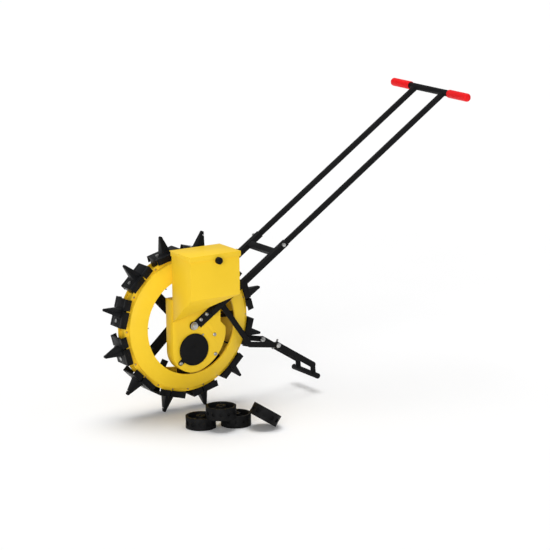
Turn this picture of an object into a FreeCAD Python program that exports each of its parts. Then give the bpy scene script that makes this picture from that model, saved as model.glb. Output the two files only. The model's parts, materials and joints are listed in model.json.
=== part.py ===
import FreeCAD, Part
import math
import os

from FreeCAD import Vector

# Walk-behind rolling seeder. A drum carries twelve opening beaks that press seeds into the
# ground, a hopper on the near side feeds them over a metering roller, and a telescoping
# T-handle pushes the machine. Four spare rollers lie on the ground beside it.
#
# While modelling, the axle runs along Y through the origin, +X points to the handle, +Z up
# and the hopper is on the -Y side. Angles around the wheel are counted from its top towards
# +X. The finished pieces are shifted so that the origin is under the middle of the machine.

# Drum
SHEET = 2.0
FLANGE_DEPTH = 11.0
FLANGE_HALF = 20.0
STEP_RADIUS = 185.0
STEP_HALF = 30.0
MOUTH_RADIUS = 140.0
MOUTH_HALF = 50.0
MOUTH_LIP = 8.0
RIM_GAP = 1.0
SCREW_STEP = 30.0
SCREW_RADIUS = 2.0
SCREW_HEAD_RADIUS = 3.4
SCREW_HEAD_HEIGHT = 2.4
SCREW_TAIL = 3.0

# Beaks, in their own frame: along the rim, across the rim, and out from the axle
BEAK_COUNT = 12
FIRST_BEAK = 15.0
SPIKE_LENGTH = 49.0
TIP_ROUND = 4.0
TIP_HALF_WIDTH = 4.5
SADDLE_HALF_LENGTH = 41.0
SADDLE_HALF_WIDTH = 20.0
SADDLE_PLATE = 4.0
SPIKE_HALF_LENGTH = 14.0
SPIKE_HALF_WIDTH = 14.0
SPIKE_WALL = 3.0
SPLIT_GAP = 0.5
NOSE_DEPTH = 10.0
NOSE_GAP = 1.5
CHUTE_BACK = 15.0
CHUTE_FRONT = 8.0
CHUTE_HALF_WIDTH = 13.0
CHUTE_WALL = 2.5
LIP_GAP = 0.5
HINGE_ALONG = 12.5
HINGE_HEIGHT = 13.0
HINGE_PIN_RADIUS = 2.5
HINGE_PIN_HEAD = 4.0
EAR_RADIUS = 5.0
EAR_GAP = 1.0
EAR_WIDTH = 3.5
KNUCKLE_WIDTH = 3.0
KNUCKLE_RADIUS = 4.2
LEVER_START = 10.0
SPRING_WIRE = 1.6
SPRING_LEVER_LEG = 16.0
SPRING_RIM_LEG = 15.0
SADDLE_BOLT_ALONG = -24.0
SADDLE_BOLT_RADIUS = 3.0
SADDLE_BOLT_HEAD = 5.0

# Clearances
RUNNING = 0.05
FLAT_GAP = 0.3
CUT_PAST = 1.0

# Plates that part the inside of the drum into seed chambers
CHAMBER_PLATE = 2.4
CHAMBER_TONGUE_RADIUS = 118.0
CHAMBER_TONGUE_HALF = 16.0
CHAMBER_SHOULDER_RADIUS = 138.0
CHAMBER_WIDE_RADIUS = 143.5
CHAMBER_WIDE_HALF = 38.0

# Hub, spokes and axle
SPOKE_ANGLE = 48.0
SPOKE_COUNT = 4
SPOKE_WIDTH = 31.0
SPOKE_PLATE = 4.0
SPOKE_Y = 22.0
HUB_RADIUS = 20.0
HUB_FAR_Y = 48.0
HUB_NEAR_Y = -19.0
GEAR_SEAT_RADIUS = 16.0
BUSH_RADIUS = 11.0
BUSH_LENGTH = 18.0
BUSH_FLANGE = 14.0
BUSH_FLANGE_WIDTH = 2.0
AXLE_RADIUS = 8.0
COLLAR_RADIUS = 12.0
END_BOLT_RADIUS = 5.0
END_BOLT_LENGTH = 20.0
END_BOLT_FLATS = 16.0
END_BOLT_HEAD = 6.0
WASHER_RADIUS = 11.0
WASHER = 2.0

# Metering drive
GEAR_MODULE = 4.0
GEAR_TEETH = 17
GEAR_WIDTH = 10.0
GEAR_BACKLASH = 0.5
ROLLER_RADIUS = 42.0
ROLLER_RIM = 6.0
ROLLER_WEB = 6.0
ROLLER_HUB_RADIUS = 13.0
ROLLER_CELLS = 12
CELL_RADIUS = 6.0
SPARE_CELL_RADII = (7.0, 4.0, 5.0, 6.5)
CELL_DEPTH = 4.5
SHAFT_RADIUS = 6.0

# Seed housing
HOUSING_NEAR_Y = -58.0
HOUSING_FAR_Y = -22.0
HOUSING_LEFT = -66.0
HOUSING_TOP = 81.0
HOUSING_BOTTOM_RADIUS = 66.0
HOUSING_RIGHT = 104.0
HOUSING_SHOULDER = 88.0
HOUSING_CORNER = (84.0, -85.0)
HOUSING_LOW = (24.0, -129.5)
PORT_GAP = 0.8
COVER_RADIUS = 45.5
COVER_PLATE = 3.0
COVER_RIM = 1.2
COVER_RIM_WIDTH = 4.0
COVER_BOSS_RADIUS = 9.0
LUG_SCREW = (-43.5, -101.9)
LUG_RADIUS = 7.0
LUG_SCREW_HEAD = 6.0
LUG_SCREW_RADIUS = 3.0
KEEPER_ANGLE = 52.0
PLATE_SCREWS = ((67.5, -34.6), (69.7, -90.9))
PLATE_SCREW_RADIUS = 2.5
PLATE_SCREW_HEAD = 5.5
PLATE_SCREW_HEIGHT = 3.0
POST_RADIUS = 6.0
OUTLET_HALF = 18.0
OUTLET_MARGIN = 4.0

# Hopper and lid
HOPPER_LEFT = -65.0
HOPPER_RIGHT = 90.0
HOPPER_NEAR_Y = -163.0
HOPPER_TOP = 219.0
HOPPER_CREASE = 98.5
HOPPER_DRAIN = 18.0
LID_OVERHANG = 3.0
LID_HEIGHT = 14.0
LID_PIN_RADIUS = 2.0
LID_PIN_BACK = 5.0
LID_KNUCKLE = 4.0
LID_KNUCKLE_LENGTH = 22.0
KNOB_X = 20.0
KNOB_DROP = 4.0
KNOB_RADIUS = 9.7
KNOB_LENGTH = 13.0
KNOB_STUD = 3.0
TAB_HALF_WIDTH = 8.0
TAB_DROP = 12.0
WINDOW_LEFT = -59.0
WINDOW_RIGHT = -30.0
WINDOW_TOP = 68.0
HOPPER_SCREW = (-150.0, 156.0)

# Handle
HANDLE_SLOPE = 34.6
HANDLE_DROP = 2.6
ARM_PLATE = 4.0
ARM_END_RADIUS = 12.0
ARM_LOW = -19.0
ARM_HIGH = 8.0
ARM_START = 14.0
ARM_END = 84.0
ARM_SCREWS = (27.0, 50.0)
ARM_SCREW_RADIUS = 3.0
ARM_SCREW_HEAD = 5.5
ARM_SCREW_HEIGHT = 4.0
LOWER_TUBE = 16.0
LOWER_TUBE_START = 62.0
LOWER_TUBE_END = 361.0
UPPER_TUBE = 13.0
UPPER_TUBE_WALL = 1.5
TUBE_GAP = 0.2
UPPER_TUBE_START = 180.0
BRACE_AT = 316.0
BRACE_WIDTH = 19.0
BRACE_HEIGHT = 13.0
CLAMP_AT = 347.0
CLAMP_OFFSET = 1.4
CLAMP_RADIUS = 3.0
CLAMP_FLATS = 10.0
CLAMP_HEAD = 6.0
BAR_AT = 1021.0
BAR_HALF = 189.5
BAR_RADIUS = 9.5
BAR_WALL = 1.5
GRIP_LENGTH = 92.0
GRIP_RADIUS = 12.0
GRIP_END = 6.0

# Rear brackets and drag stand
BRACKET_WIDTH = 16.0
BRACKET_PLATE = 4.0
BRACKET_START = 103.0
BRACKET_BEND = (182.0, -80.0)
PIVOT = (283.0, -99.5)
PIVOT_RADIUS = 4.0
PIVOT_FLATS = 13.0
PIVOT_HEAD = 5.0
STAND_HALF = 42.0
STAND_PLATE = 4.0
STAND_WIDTH = 18.0
STAND_CORNER = (403.5, -176.0)
STAND_LEG_WIDTH = 15.0
FOOT_AT = (405.3, -204.6)
FOOT_RADIUS = 8.0
FOOT_HALF = 65.0
WING_SPAN = 16.0
WING_PLATE = 2.2
WING_HUB = 6.5
WING_HEIGHT = 7.0
WING_ANGLE = 55.0

# Spare rollers on the ground: centre of the lower face, and the layer they lie in
SPARE_FLAT = ((-58.0, -190.6, 0), (34.5, -223.8, 0), (-21.6, -238.9, 1))
SPARE_LEAN_EDGE = (113.2, -295.4)
SPARE_LEAN_TURN = -6.7
SPARE_LEAN_TILT = 32.8

AXIS_Y = Vector(0, 1, 0)
RIM_RADIUS = STEP_RADIUS + RIM_GAP + SHEET
FLANGE_RADIUS = STEP_RADIUS + FLANGE_DEPTH
HINGE_RADIUS = RIM_RADIUS + HINGE_HEIGHT
SADDLE_TOP = HINGE_RADIUS + EAR_RADIUS + EAR_GAP + SADDLE_PLATE
TIP_RADIUS = SADDLE_TOP + SPIKE_LENGTH
GROUND = -((TIP_RADIUS - TIP_ROUND) * math.cos(math.radians(FIRST_BEAK)) + TIP_ROUND)
ARM_Y = -HOUSING_NEAR_Y + ARM_PLATE
ROLLER_WIDTH = HOUSING_FAR_Y - HOUSING_NEAR_Y - SHEET - 2 * FLAT_GAP
GEAR_RADIUS = GEAR_MODULE * GEAR_TEETH / 2
ROLLER_AXIS = (0.0, -2 * GEAR_RADIUS)
SLOPE = math.radians(HANDLE_SLOPE)


def fused(shapes):
    """One solid from several that touch or overlap."""
    first = shapes[0]
    return first.fuse(shapes[1:]).removeSplitter() if len(shapes) > 1 else first


def box(x0, x1, y0, y1, z0, z1):
    return Part.makeBox(x1 - x0, y1 - y0, z1 - z0, Vector(x0, y0, z0))


def prism_y(points, y0, y1):
    """A plate with an outline in X and Z, from y0 to y1."""
    wire = Part.makePolygon([Vector(x, y0, z) for x, z in points + points[:1]])
    return Part.Face(wire).extrude(Vector(0, y1 - y0, 0))


def prism_x(points, x0, x1):
    """A bar with a section in Y and Z, from x0 to x1."""
    wire = Part.makePolygon([Vector(x0, y, z) for y, z in points + points[:1]])
    return Part.Face(wire).extrude(Vector(x1 - x0, 0, 0))


def prism_z(points, z0, z1):
    """A strip with an outline in X and Y, from z0 to z1."""
    wire = Part.makePolygon([Vector(x, y, z0) for x, y in points + points[:1]])
    return Part.Face(wire).extrude(Vector(0, 0, z1 - z0))


def cylinder_y(radius, y0, y1, at=(0.0, 0.0)):
    return Part.makeCylinder(radius, y1 - y0, Vector(at[0], y0, at[1]), AXIS_Y)


def turned_y(points):
    """A ring from a section of (radius, y) points turned about the axle."""
    wire = Part.makePolygon([Vector(r, y, 0) for r, y in points + points[:1]])
    return Part.Face(wire).revolve(Vector(0, 0, 0), AXIS_Y, 360)


def hexagon_y(flats, y0, y1, at=(0.0, 0.0)):
    """A bolt head or nut along Y."""
    reach = flats / math.sqrt(3)
    corners = [math.radians(60 * i) for i in range(6)]
    return prism_y([(at[0] + reach * math.cos(a), at[1] + reach * math.sin(a)) for a in corners], y0, y1)


def around(shape, angle):
    """A copy turned about the axle, by an angle counted from the top towards +X."""
    copy = shape.copy()
    copy.rotate(Vector(0, 0, 0), AXIS_Y, angle)
    return copy


def mirrored(shape):
    """The same piece on the far side of the machine."""
    return shape.mirror(Vector(0, 0, 0), AXIS_Y)


def beak_angles():
    return [FIRST_BEAK + i * 360.0 / BEAK_COUNT for i in range(BEAK_COUNT)]


def along_handle(distance, offset=0.0):
    """X and Z of a point on the handle's line, and offset square to it."""
    x = distance * math.cos(SLOPE) - offset * math.sin(SLOPE)
    z = distance * math.sin(SLOPE) + offset * math.cos(SLOPE)
    return x, z


def handle_bar(start, end, low, high, y0, y1):
    """A straight bar along the handle's line."""
    corners = [(start, low), (end, low), (end, high), (start, high)]
    return prism_y([along_handle(s, p) for s, p in corners], y0, y1)


def square_bar(start, end, middle, half):
    """A square bar along the tubes' axis, which runs a little below the axle's."""
    low = -HANDLE_DROP - half
    high = -HANDLE_DROP + half
    return handle_bar(start, end, low, high, middle - half, middle + half)


def drum_cover():
    """The near dished cover: rolled lip, cone, step and flange, pressed from one sheet."""
    run = STEP_RADIUS - MOUTH_RADIUS
    rise = MOUTH_HALF - STEP_HALF
    length = math.hypot(run, rise)

    def inside(radius):
        start = MOUTH_RADIUS - SHEET * rise / length
        return MOUTH_HALF - SHEET * run / length - (radius - start) * rise / run

    step_inside = STEP_RADIUS - SHEET
    lip_outside = MOUTH_RADIUS + SHEET
    section = [
        (MOUTH_RADIUS, MOUTH_HALF),
        (STEP_RADIUS, STEP_HALF),
        (STEP_RADIUS, FLANGE_HALF),
        (FLANGE_RADIUS, FLANGE_HALF),
        (FLANGE_RADIUS, FLANGE_HALF - SHEET),
        (step_inside, FLANGE_HALF - SHEET),
        (step_inside, inside(step_inside)),
        (lip_outside, inside(lip_outside)),
        (lip_outside, MOUTH_HALF - MOUTH_LIP),
        (MOUTH_RADIUS, MOUTH_HALF - MOUTH_LIP),
    ]
    cover = turned_y([(r, -y) for r, y in section])
    return cover.cut(screw_set(SCREW_RADIUS + RUNNING, 0.0))


def screw_set(radius, head):
    """The near ring of cover screws, or the holes for them when they have no head."""
    ring = (STEP_RADIUS + FLANGE_RADIUS) / 2
    low = -FLANGE_HALF
    high = -FLANGE_HALF + 2 * SHEET + SCREW_TAIL
    screw = cylinder_y(radius, low, high, (0, ring))
    if head:
        screw = fused([screw, cylinder_y(head, low - SCREW_HEAD_HEIGHT, low, (0, ring))])
    count = round(360 / SCREW_STEP)
    return Part.makeCompound([around(screw, i * SCREW_STEP) for i in range(count)])


def rim_band():
    """The channel between the covers, with a seed slot under every beak."""
    edge = FLANGE_HALF - SHEET
    section = [
        (RIM_RADIUS - SHEET, -edge),
        (FLANGE_RADIUS, -edge),
        (FLANGE_RADIUS, SHEET - edge),
        (RIM_RADIUS, SHEET - edge),
        (RIM_RADIUS, edge - SHEET),
        (FLANGE_RADIUS, edge - SHEET),
        (FLANGE_RADIUS, edge),
        (RIM_RADIUS - SHEET, edge),
    ]
    slot = box(
        -CHUTE_BACK + 2 * CHUTE_WALL,
        CHUTE_FRONT - 2 * CHUTE_WALL,
        -CHUTE_HALF_WIDTH + 2 * CHUTE_WALL,
        CHUTE_HALF_WIDTH - 2 * CHUTE_WALL,
        RIM_RADIUS - 4 * SHEET,
        RIM_RADIUS + SHEET,
    )
    bolt = Part.makeCylinder(
        SADDLE_BOLT_RADIUS + RUNNING, 6 * SHEET, Vector(SADDLE_BOLT_ALONG, 0, RIM_RADIUS - 5 * SHEET)
    )
    holes = [around(tool, a) for a in beak_angles() for tool in (slot, bolt)]
    near_screws = screw_set(SCREW_RADIUS + RUNNING, 0.0)
    return turned_y(section).cut(holes + [near_screws, mirrored(near_screws)])


def spike(half_length, half_width, tip_length, tip_width, low, high):
    """A wedge that narrows both ways, standing out from the axle."""
    side = [(-half_length, low), (half_length, low), (tip_length, high), (-tip_length, high)]
    front = [(-half_width, low), (half_width, low), (tip_width, high), (-tip_width, high)]
    return prism_y(side, -half_width, half_width).common(prism_x(front, -half_length, half_length))


def whole_spike():
    """Both halves of the beak together, with the seed passage cut out."""
    low = SADDLE_TOP - SADDLE_PLATE
    centre = TIP_RADIUS - TIP_ROUND
    nose = cylinder_y(TIP_ROUND, -TIP_HALF_WIDTH, TIP_HALF_WIDTH, (0, centre))
    outer = spike(SPIKE_HALF_LENGTH, SPIKE_HALF_WIDTH, TIP_ROUND, TIP_HALF_WIDTH, low, centre)
    passage = spike(
        SPIKE_HALF_LENGTH - SPIKE_WALL,
        SPIKE_HALF_WIDTH - SPIKE_WALL,
        TIP_ROUND / 2,
        TIP_HALF_WIDTH / 2,
        low - SADDLE_PLATE,
        TIP_RADIUS - NOSE_DEPTH - SPIKE_WALL,
    )
    return fused([outer, nose]).cut(passage)


def fixed_beak():
    """Saddle plate, end lip, seed chute, hinge ears and the fixed half of the spike."""
    low = SADDLE_TOP - SADDLE_PLATE
    lip_half = FLANGE_HALF - 2 * SHEET - LIP_GAP
    plate = box(-SADDLE_HALF_LENGTH, -SPLIT_GAP / 2, -SADDLE_HALF_WIDTH, SADDLE_HALF_WIDTH, low, SADDLE_TOP)
    lip = box(
        -SADDLE_HALF_LENGTH, SADDLE_PLATE - SADDLE_HALF_LENGTH, -lip_half, lip_half, RIM_RADIUS * 0.9, low
    )
    chute = box(-CHUTE_BACK, CHUTE_FRONT, -CHUTE_HALF_WIDTH, CHUTE_HALF_WIDTH, RIM_RADIUS - SHEET, low)
    ears = [
        fused(
            [
                box(
                    CHUTE_FRONT,
                    HINGE_ALONG,
                    y0,
                    y0 + EAR_WIDTH,
                    HINGE_RADIUS - EAR_RADIUS,
                    HINGE_RADIUS + EAR_RADIUS,
                ),
                cylinder_y(EAR_RADIUS, y0, y0 + EAR_WIDTH, (HINGE_ALONG, HINGE_RADIUS)),
            ]
        )
        for y0 in (-CHUTE_HALF_WIDTH, CHUTE_HALF_WIDTH - EAR_WIDTH)
    ]
    inside = box(
        -CHUTE_BACK + CHUTE_WALL,
        CHUTE_FRONT - CHUTE_WALL,
        -CHUTE_HALF_WIDTH + CHUTE_WALL,
        CHUTE_HALF_WIDTH - CHUTE_WALL,
        RIM_RADIUS - 2 * SHEET,
        SADDLE_TOP,
    )
    split = box(
        -SPLIT_GAP / 2,
        SADDLE_HALF_LENGTH,
        -SADDLE_HALF_WIDTH,
        SADDLE_HALF_WIDTH,
        low,
        TIP_RADIUS - NOSE_DEPTH,
    )
    keep_spike = box(
        -CHUTE_BACK + CHUTE_WALL,
        -SPLIT_GAP / 2,
        -CHUTE_HALF_WIDTH + CHUTE_WALL,
        CHUTE_HALF_WIDTH - CHUTE_WALL,
        low,
        SADDLE_TOP,
    )
    drum = cylinder_y(RIM_RADIUS, -SADDLE_HALF_WIDTH, SADDLE_HALF_WIDTH)
    bolt = Part.makeCylinder(
        SADDLE_BOLT_RADIUS + RUNNING, 3 * SADDLE_PLATE, Vector(SADDLE_BOLT_ALONG, 0, low - SADDLE_PLATE)
    )
    pin = cylinder_y(
        HINGE_PIN_RADIUS + RUNNING, -SADDLE_HALF_WIDTH, SADDLE_HALF_WIDTH, (HINGE_ALONG, HINGE_RADIUS)
    )
    saddle = fused([plate, lip, chute] + ears).cut([inside, keep_spike, drum, bolt, pin])
    half = whole_spike().cut(split)
    return fused([saddle, half])


def beak_flap():
    """The opening half of the spike with its lever plate and two hinge knuckles."""
    low = SADDLE_TOP - SADDLE_PLATE + FLAT_GAP
    lever = box(
        LEVER_START, SADDLE_HALF_LENGTH, -SADDLE_HALF_WIDTH, SADDLE_HALF_WIDTH, low - FLAT_GAP, SADDLE_TOP
    )
    lever = lever.cut(
        box(LEVER_START, HINGE_ALONG + EAR_RADIUS, -SADDLE_HALF_WIDTH, SADDLE_HALF_WIDTH, low - 1, low)
    )
    limit = box(
        SPLIT_GAP / 2,
        SADDLE_HALF_LENGTH,
        -SADDLE_HALF_WIDTH,
        SADDLE_HALF_WIDTH,
        low,
        TIP_RADIUS - NOSE_DEPTH - NOSE_GAP,
    )
    half = whole_spike().common(limit)
    knuckle_y = CHUTE_HALF_WIDTH - EAR_WIDTH - FLAT_GAP
    knuckles = [
        fused(
            [
                box(
                    HINGE_ALONG - KNUCKLE_RADIUS,
                    HINGE_ALONG + KNUCKLE_RADIUS,
                    y0,
                    y0 + KNUCKLE_WIDTH,
                    HINGE_RADIUS,
                    low,
                ),
                cylinder_y(KNUCKLE_RADIUS, y0, y0 + KNUCKLE_WIDTH, (HINGE_ALONG, HINGE_RADIUS)),
            ]
        )
        for y0 in (-knuckle_y, knuckle_y - KNUCKLE_WIDTH)
    ]
    pin = cylinder_y(
        HINGE_PIN_RADIUS + RUNNING, -SADDLE_HALF_WIDTH, SADDLE_HALF_WIDTH, (HINGE_ALONG, HINGE_RADIUS)
    )
    return fused([lever, half] + knuckles).cut(pin)


def hinge_pin():
    half = CHUTE_HALF_WIDTH
    at = (HINGE_ALONG, HINGE_RADIUS)
    head = SHEET
    return fused(
        [
            cylinder_y(HINGE_PIN_RADIUS, -half, half, at),
            cylinder_y(HINGE_PIN_HEAD, -half - head, -half, at),
            cylinder_y(HINGE_PIN_HEAD, half, half + head, at),
        ]
    )


def beak_spring():
    """The wound body of the return spring round the hinge pin, with its two legs."""
    knuckle_y = CHUTE_HALF_WIDTH - EAR_WIDTH - FLAT_GAP - KNUCKLE_WIDTH
    half = knuckle_y - FLAT_GAP
    bore = HINGE_PIN_RADIUS + 2 * RUNNING
    outer = bore + SPRING_WIRE
    at = (HINGE_ALONG, HINGE_RADIUS)
    body = cylinder_y(outer, -half, half, at).cut(cylinder_y(bore, -half, half, at))
    wire = SPRING_WIRE / 2 - RUNNING
    reach = bore + SPRING_WIRE / 2
    lever_start = Vector(HINGE_ALONG, SPRING_WIRE - half, HINGE_RADIUS + reach)
    rim_start = Vector(HINGE_ALONG, half - SPRING_WIRE, HINGE_RADIUS - reach)
    lever_leg = Part.makeCylinder(wire, SPRING_LEVER_LEG, lever_start, Vector(1, 0, 0.1))
    rim_leg = Part.makeCylinder(wire, SPRING_RIM_LEG, rim_start, Vector(1, 0, -0.9))
    return fused([body, lever_leg, rim_leg])


def saddle_bolt():
    """The bolt that holds a saddle down on the rim band."""
    low = RIM_RADIUS - 2 * SHEET - SADDLE_BOLT_RADIUS
    shank = Part.makeCylinder(
        SADDLE_BOLT_RADIUS, SADDLE_TOP - low, Vector(SADDLE_BOLT_ALONG, 0, low)
    )
    head = Part.makeCylinder(
        SADDLE_BOLT_HEAD, SADDLE_BOLT_RADIUS, Vector(SADDLE_BOLT_ALONG, 0, SADDLE_TOP)
    )
    nut_top = math.sqrt((RIM_RADIUS - SHEET) ** 2 - (abs(SADDLE_BOLT_ALONG) + SADDLE_BOLT_HEAD) ** 2)
    nut = Part.makeCylinder(
        SADDLE_BOLT_HEAD, nut_top - low, Vector(SADDLE_BOLT_ALONG, 0, low)
    )
    return fused([shank, head, nut])


def chamber_plate():
    """A plate between two beaks, from the rim band inwards, cut to the drum's inside."""
    edge = FLANGE_HALF - SHEET - FLAT_GAP
    step = STEP_RADIUS - SHEET - FLAT_GAP
    slope = (MOUTH_HALF - STEP_HALF) / (STEP_RADIUS - MOUTH_RADIUS)
    cone_half = STEP_HALF - SHEET
    cone_radius = STEP_RADIUS - SHEET - (CHAMBER_WIDE_HALF - cone_half) / slope
    side = [
        (CHAMBER_TONGUE_HALF, CHAMBER_TONGUE_RADIUS),
        (CHAMBER_TONGUE_HALF, CHAMBER_SHOULDER_RADIUS),
        (CHAMBER_WIDE_HALF, CHAMBER_WIDE_RADIUS),
        (CHAMBER_WIDE_HALF, cone_radius),
        (cone_half, step),
        (edge, step),
        (edge, RIM_RADIUS - SHEET),
    ]
    outline = side + [(-y, r) for y, r in reversed(side)]
    plate = prism_x(outline, -CHAMBER_PLATE / 2, CHAMBER_PLATE / 2)
    return plate.common(cylinder_y(RIM_RADIUS - SHEET, -CHAMBER_WIDE_HALF, CHAMBER_WIDE_HALF))


def spoke_cross():
    """Flat arms from the hub to the step of the far cover."""
    reach = STEP_RADIUS - SHEET
    far = SPOKE_Y + SPOKE_PLATE
    arm = box(-SPOKE_WIDTH / 2, SPOKE_WIDTH / 2, SPOKE_Y, far, 0, reach)
    arms = [around(arm, SPOKE_ANGLE + i * 360.0 / SPOKE_COUNT) for i in range(SPOKE_COUNT)]
    disc = cylinder_y(reach, SPOKE_Y, far)
    return fused(arms).common(disc).cut(cylinder_y(HUB_RADIUS, SPOKE_Y, far))


def wheel_hub():
    """The turned hub, with a seat for the gear and a bored seat for each bush."""
    seat_far = HUB_NEAR_Y + GEAR_WIDTH
    return turned_y(
        [
            (BUSH_RADIUS, HUB_NEAR_Y),
            (GEAR_SEAT_RADIUS, HUB_NEAR_Y),
            (GEAR_SEAT_RADIUS, seat_far),
            (HUB_RADIUS, seat_far),
            (HUB_RADIUS, HUB_FAR_Y),
            (BUSH_RADIUS, HUB_FAR_Y),
        ]
    )


def hub_bushes():
    """Flanged bushes in both ends of the hub."""
    bore = AXLE_RADIUS + RUNNING
    near = turned_y(
        [
            (bore, HUB_NEAR_Y - BUSH_FLANGE_WIDTH),
            (BUSH_FLANGE, HUB_NEAR_Y - BUSH_FLANGE_WIDTH),
            (BUSH_FLANGE, HUB_NEAR_Y),
            (BUSH_RADIUS, HUB_NEAR_Y),
            (BUSH_RADIUS, HUB_NEAR_Y + BUSH_LENGTH),
            (bore, HUB_NEAR_Y + BUSH_LENGTH),
        ]
    )
    far = turned_y(
        [
            (bore, HUB_FAR_Y - BUSH_LENGTH),
            (BUSH_RADIUS, HUB_FAR_Y - BUSH_LENGTH),
            (BUSH_RADIUS, HUB_FAR_Y),
            (BUSH_FLANGE, HUB_FAR_Y),
            (BUSH_FLANGE, HUB_FAR_Y + BUSH_FLANGE_WIDTH),
            (bore, HUB_FAR_Y + BUSH_FLANGE_WIDTH),
        ]
    )
    return Part.makeCompound([near, far])


def tooth_outline(middle):
    """Points of one gear tooth about the angle of its middle, with involute flanks."""
    pressure = math.radians(20)
    base = GEAR_RADIUS * math.cos(pressure)
    tip = GEAR_RADIUS + 0.85 * GEAR_MODULE
    root = GEAR_RADIUS - 1.25 * GEAR_MODULE
    thickness = math.pi / GEAR_TEETH - GEAR_BACKLASH / GEAR_RADIUS
    at_pitch = math.tan(pressure) - pressure
    flank = []
    for share in (0.0, 0.4, 0.7, 1.0):
        radius = base + (tip - base) * share
        roll = math.acos(base / radius)
        half = thickness / 2 + at_pitch - (math.tan(roll) - roll)
        flank.append((radius, half))
    flank.insert(0, (root, flank[0][1]))
    rising = [(r, middle - h) for r, h in flank]
    falling = [(r, middle + h) for r, h in reversed(flank)]
    return rising + falling


def spur_gear(first_middle, y0, bore, at=(0.0, 0.0)):
    """A spur gear with a tooth centred at the given angle from +X towards +Z."""
    pitch = 2 * math.pi / GEAR_TEETH
    points = []
    for i in range(GEAR_TEETH):
        for radius, angle in tooth_outline(first_middle + i * pitch):
            points.append((at[0] + radius * math.cos(angle), at[1] + radius * math.sin(angle)))
    blank = prism_y(points, y0, y0 + GEAR_WIDTH)
    return blank.cut(cylinder_y(bore, y0, y0 + GEAR_WIDTH, at))


def hub_gear():
    """The gear on the wheel hub, with a tooth pointing at the roller."""
    return spur_gear(-math.pi / 2, HUB_NEAR_Y, GEAR_SEAT_RADIUS)


def drive_pinion():
    """Roller shaft with its gear, with a gap that takes the hub gear's tooth."""
    gap_up = math.pi / 2 + math.pi / GEAR_TEETH
    gear = spur_gear(gap_up, HUB_NEAR_Y, SHAFT_RADIUS / 2, ROLLER_AXIS)
    shaft_near = HOUSING_NEAR_Y + COVER_PLATE
    shaft = cylinder_y(SHAFT_RADIUS, shaft_near, HUB_NEAR_Y + GEAR_WIDTH, ROLLER_AXIS)
    return fused([gear, shaft])


def seed_roller(cell_radius):
    """A metering roller standing on Z, its cells round the middle of the rim."""
    web_low = (ROLLER_WIDTH - ROLLER_WEB) / 2
    web_high = (ROLLER_WIDTH + ROLLER_WEB) / 2
    body = Part.makeCylinder(ROLLER_RADIUS, ROLLER_WIDTH)
    hollow = Part.makeCylinder(ROLLER_RADIUS - ROLLER_RIM, web_low)
    hollow_top = Part.makeCylinder(ROLLER_RADIUS - ROLLER_RIM, web_low, Vector(0, 0, web_high))
    hub = Part.makeCylinder(ROLLER_HUB_RADIUS, ROLLER_WIDTH)
    bore = Part.makeCylinder(SHAFT_RADIUS + RUNNING, ROLLER_WIDTH)
    cell = Part.makeCylinder(
        cell_radius, CELL_DEPTH + 1, Vector(ROLLER_RADIUS - CELL_DEPTH, 0, ROLLER_WIDTH / 2), Vector(1, 0, 0)
    )
    cells = []
    for i in range(ROLLER_CELLS):
        copy = cell.copy()
        copy.rotate(Vector(0, 0, 0), Vector(0, 0, 1), i * 360.0 / ROLLER_CELLS)
        cells.append(copy)
    return fused([body.cut([hollow, hollow_top]), hub]).cut([bore] + cells)


def working_roller():
    """The roller in the housing, on the driven shaft."""
    roller = seed_roller(CELL_RADIUS)
    roller.rotate(Vector(0, 0, 0), Vector(1, 0, 0), -90)
    roller.translate(Vector(ROLLER_AXIS[0], HOUSING_NEAR_Y + FLAT_GAP, ROLLER_AXIS[1]))
    return roller


def spare_rollers():
    """Two rollers flat on the ground, one stacked on them and one leaning on its edge."""
    pile = []
    for (x, y, layer), cell_radius in zip(SPARE_FLAT, SPARE_CELL_RADII):
        roller = seed_roller(cell_radius)
        roller.translate(Vector(x, y, GROUND + layer * ROLLER_WIDTH))
        pile.append(roller)
    leaning = seed_roller(SPARE_CELL_RADII[3])
    leaning.translate(Vector(-ROLLER_RADIUS, 0, 0))
    leaning.rotate(Vector(0, 0, 0), AXIS_Y, SPARE_LEAN_TILT)
    leaning.rotate(Vector(0, 0, 0), Vector(0, 0, 1), SPARE_LEAN_TURN)
    leaning.translate(Vector(SPARE_LEAN_EDGE[0], SPARE_LEAN_EDGE[1], GROUND))
    return pile + [leaning]


def housing_outline():
    """The housing's side view: straight left wall, round bottom, and a bowed right wall."""
    centre = ROLLER_AXIS
    left = Vector(HOUSING_LEFT, 0, HOUSING_TOP)
    low_left = Vector(HOUSING_LEFT, 0, centre[1])
    low = Vector(HOUSING_LOW[0], 0, HOUSING_LOW[1])
    middle_angle = math.radians(235)
    bottom = Vector(
        centre[0] + HOUSING_BOTTOM_RADIUS * math.cos(middle_angle),
        0,
        centre[1] + HOUSING_BOTTOM_RADIUS * math.sin(middle_angle),
    )
    corner = Vector(HOUSING_CORNER[0], 0, HOUSING_CORNER[1])
    right = Vector(HOUSING_RIGHT, 0, PLATE_SCREWS[0][1])
    neck = Vector(HOUSING_RIGHT, 0, PLATE_SCREWS[0][1] / 2)
    shoulder = Vector(HOUSING_SHOULDER, 0, 0)
    top = Vector(HOUSING_SHOULDER, 0, HOUSING_TOP)
    edges = [
        Part.makeLine(left, low_left),
        Part.Arc(low_left, bottom, low).toShape(),
        Part.Arc(low, corner, right).toShape(),
        Part.makeLine(right, neck),
        Part.makeLine(neck, shoulder),
        Part.makeLine(shoulder, top),
        Part.makeLine(top, left),
    ]
    return Part.Face(Part.Wire(edges))


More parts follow.
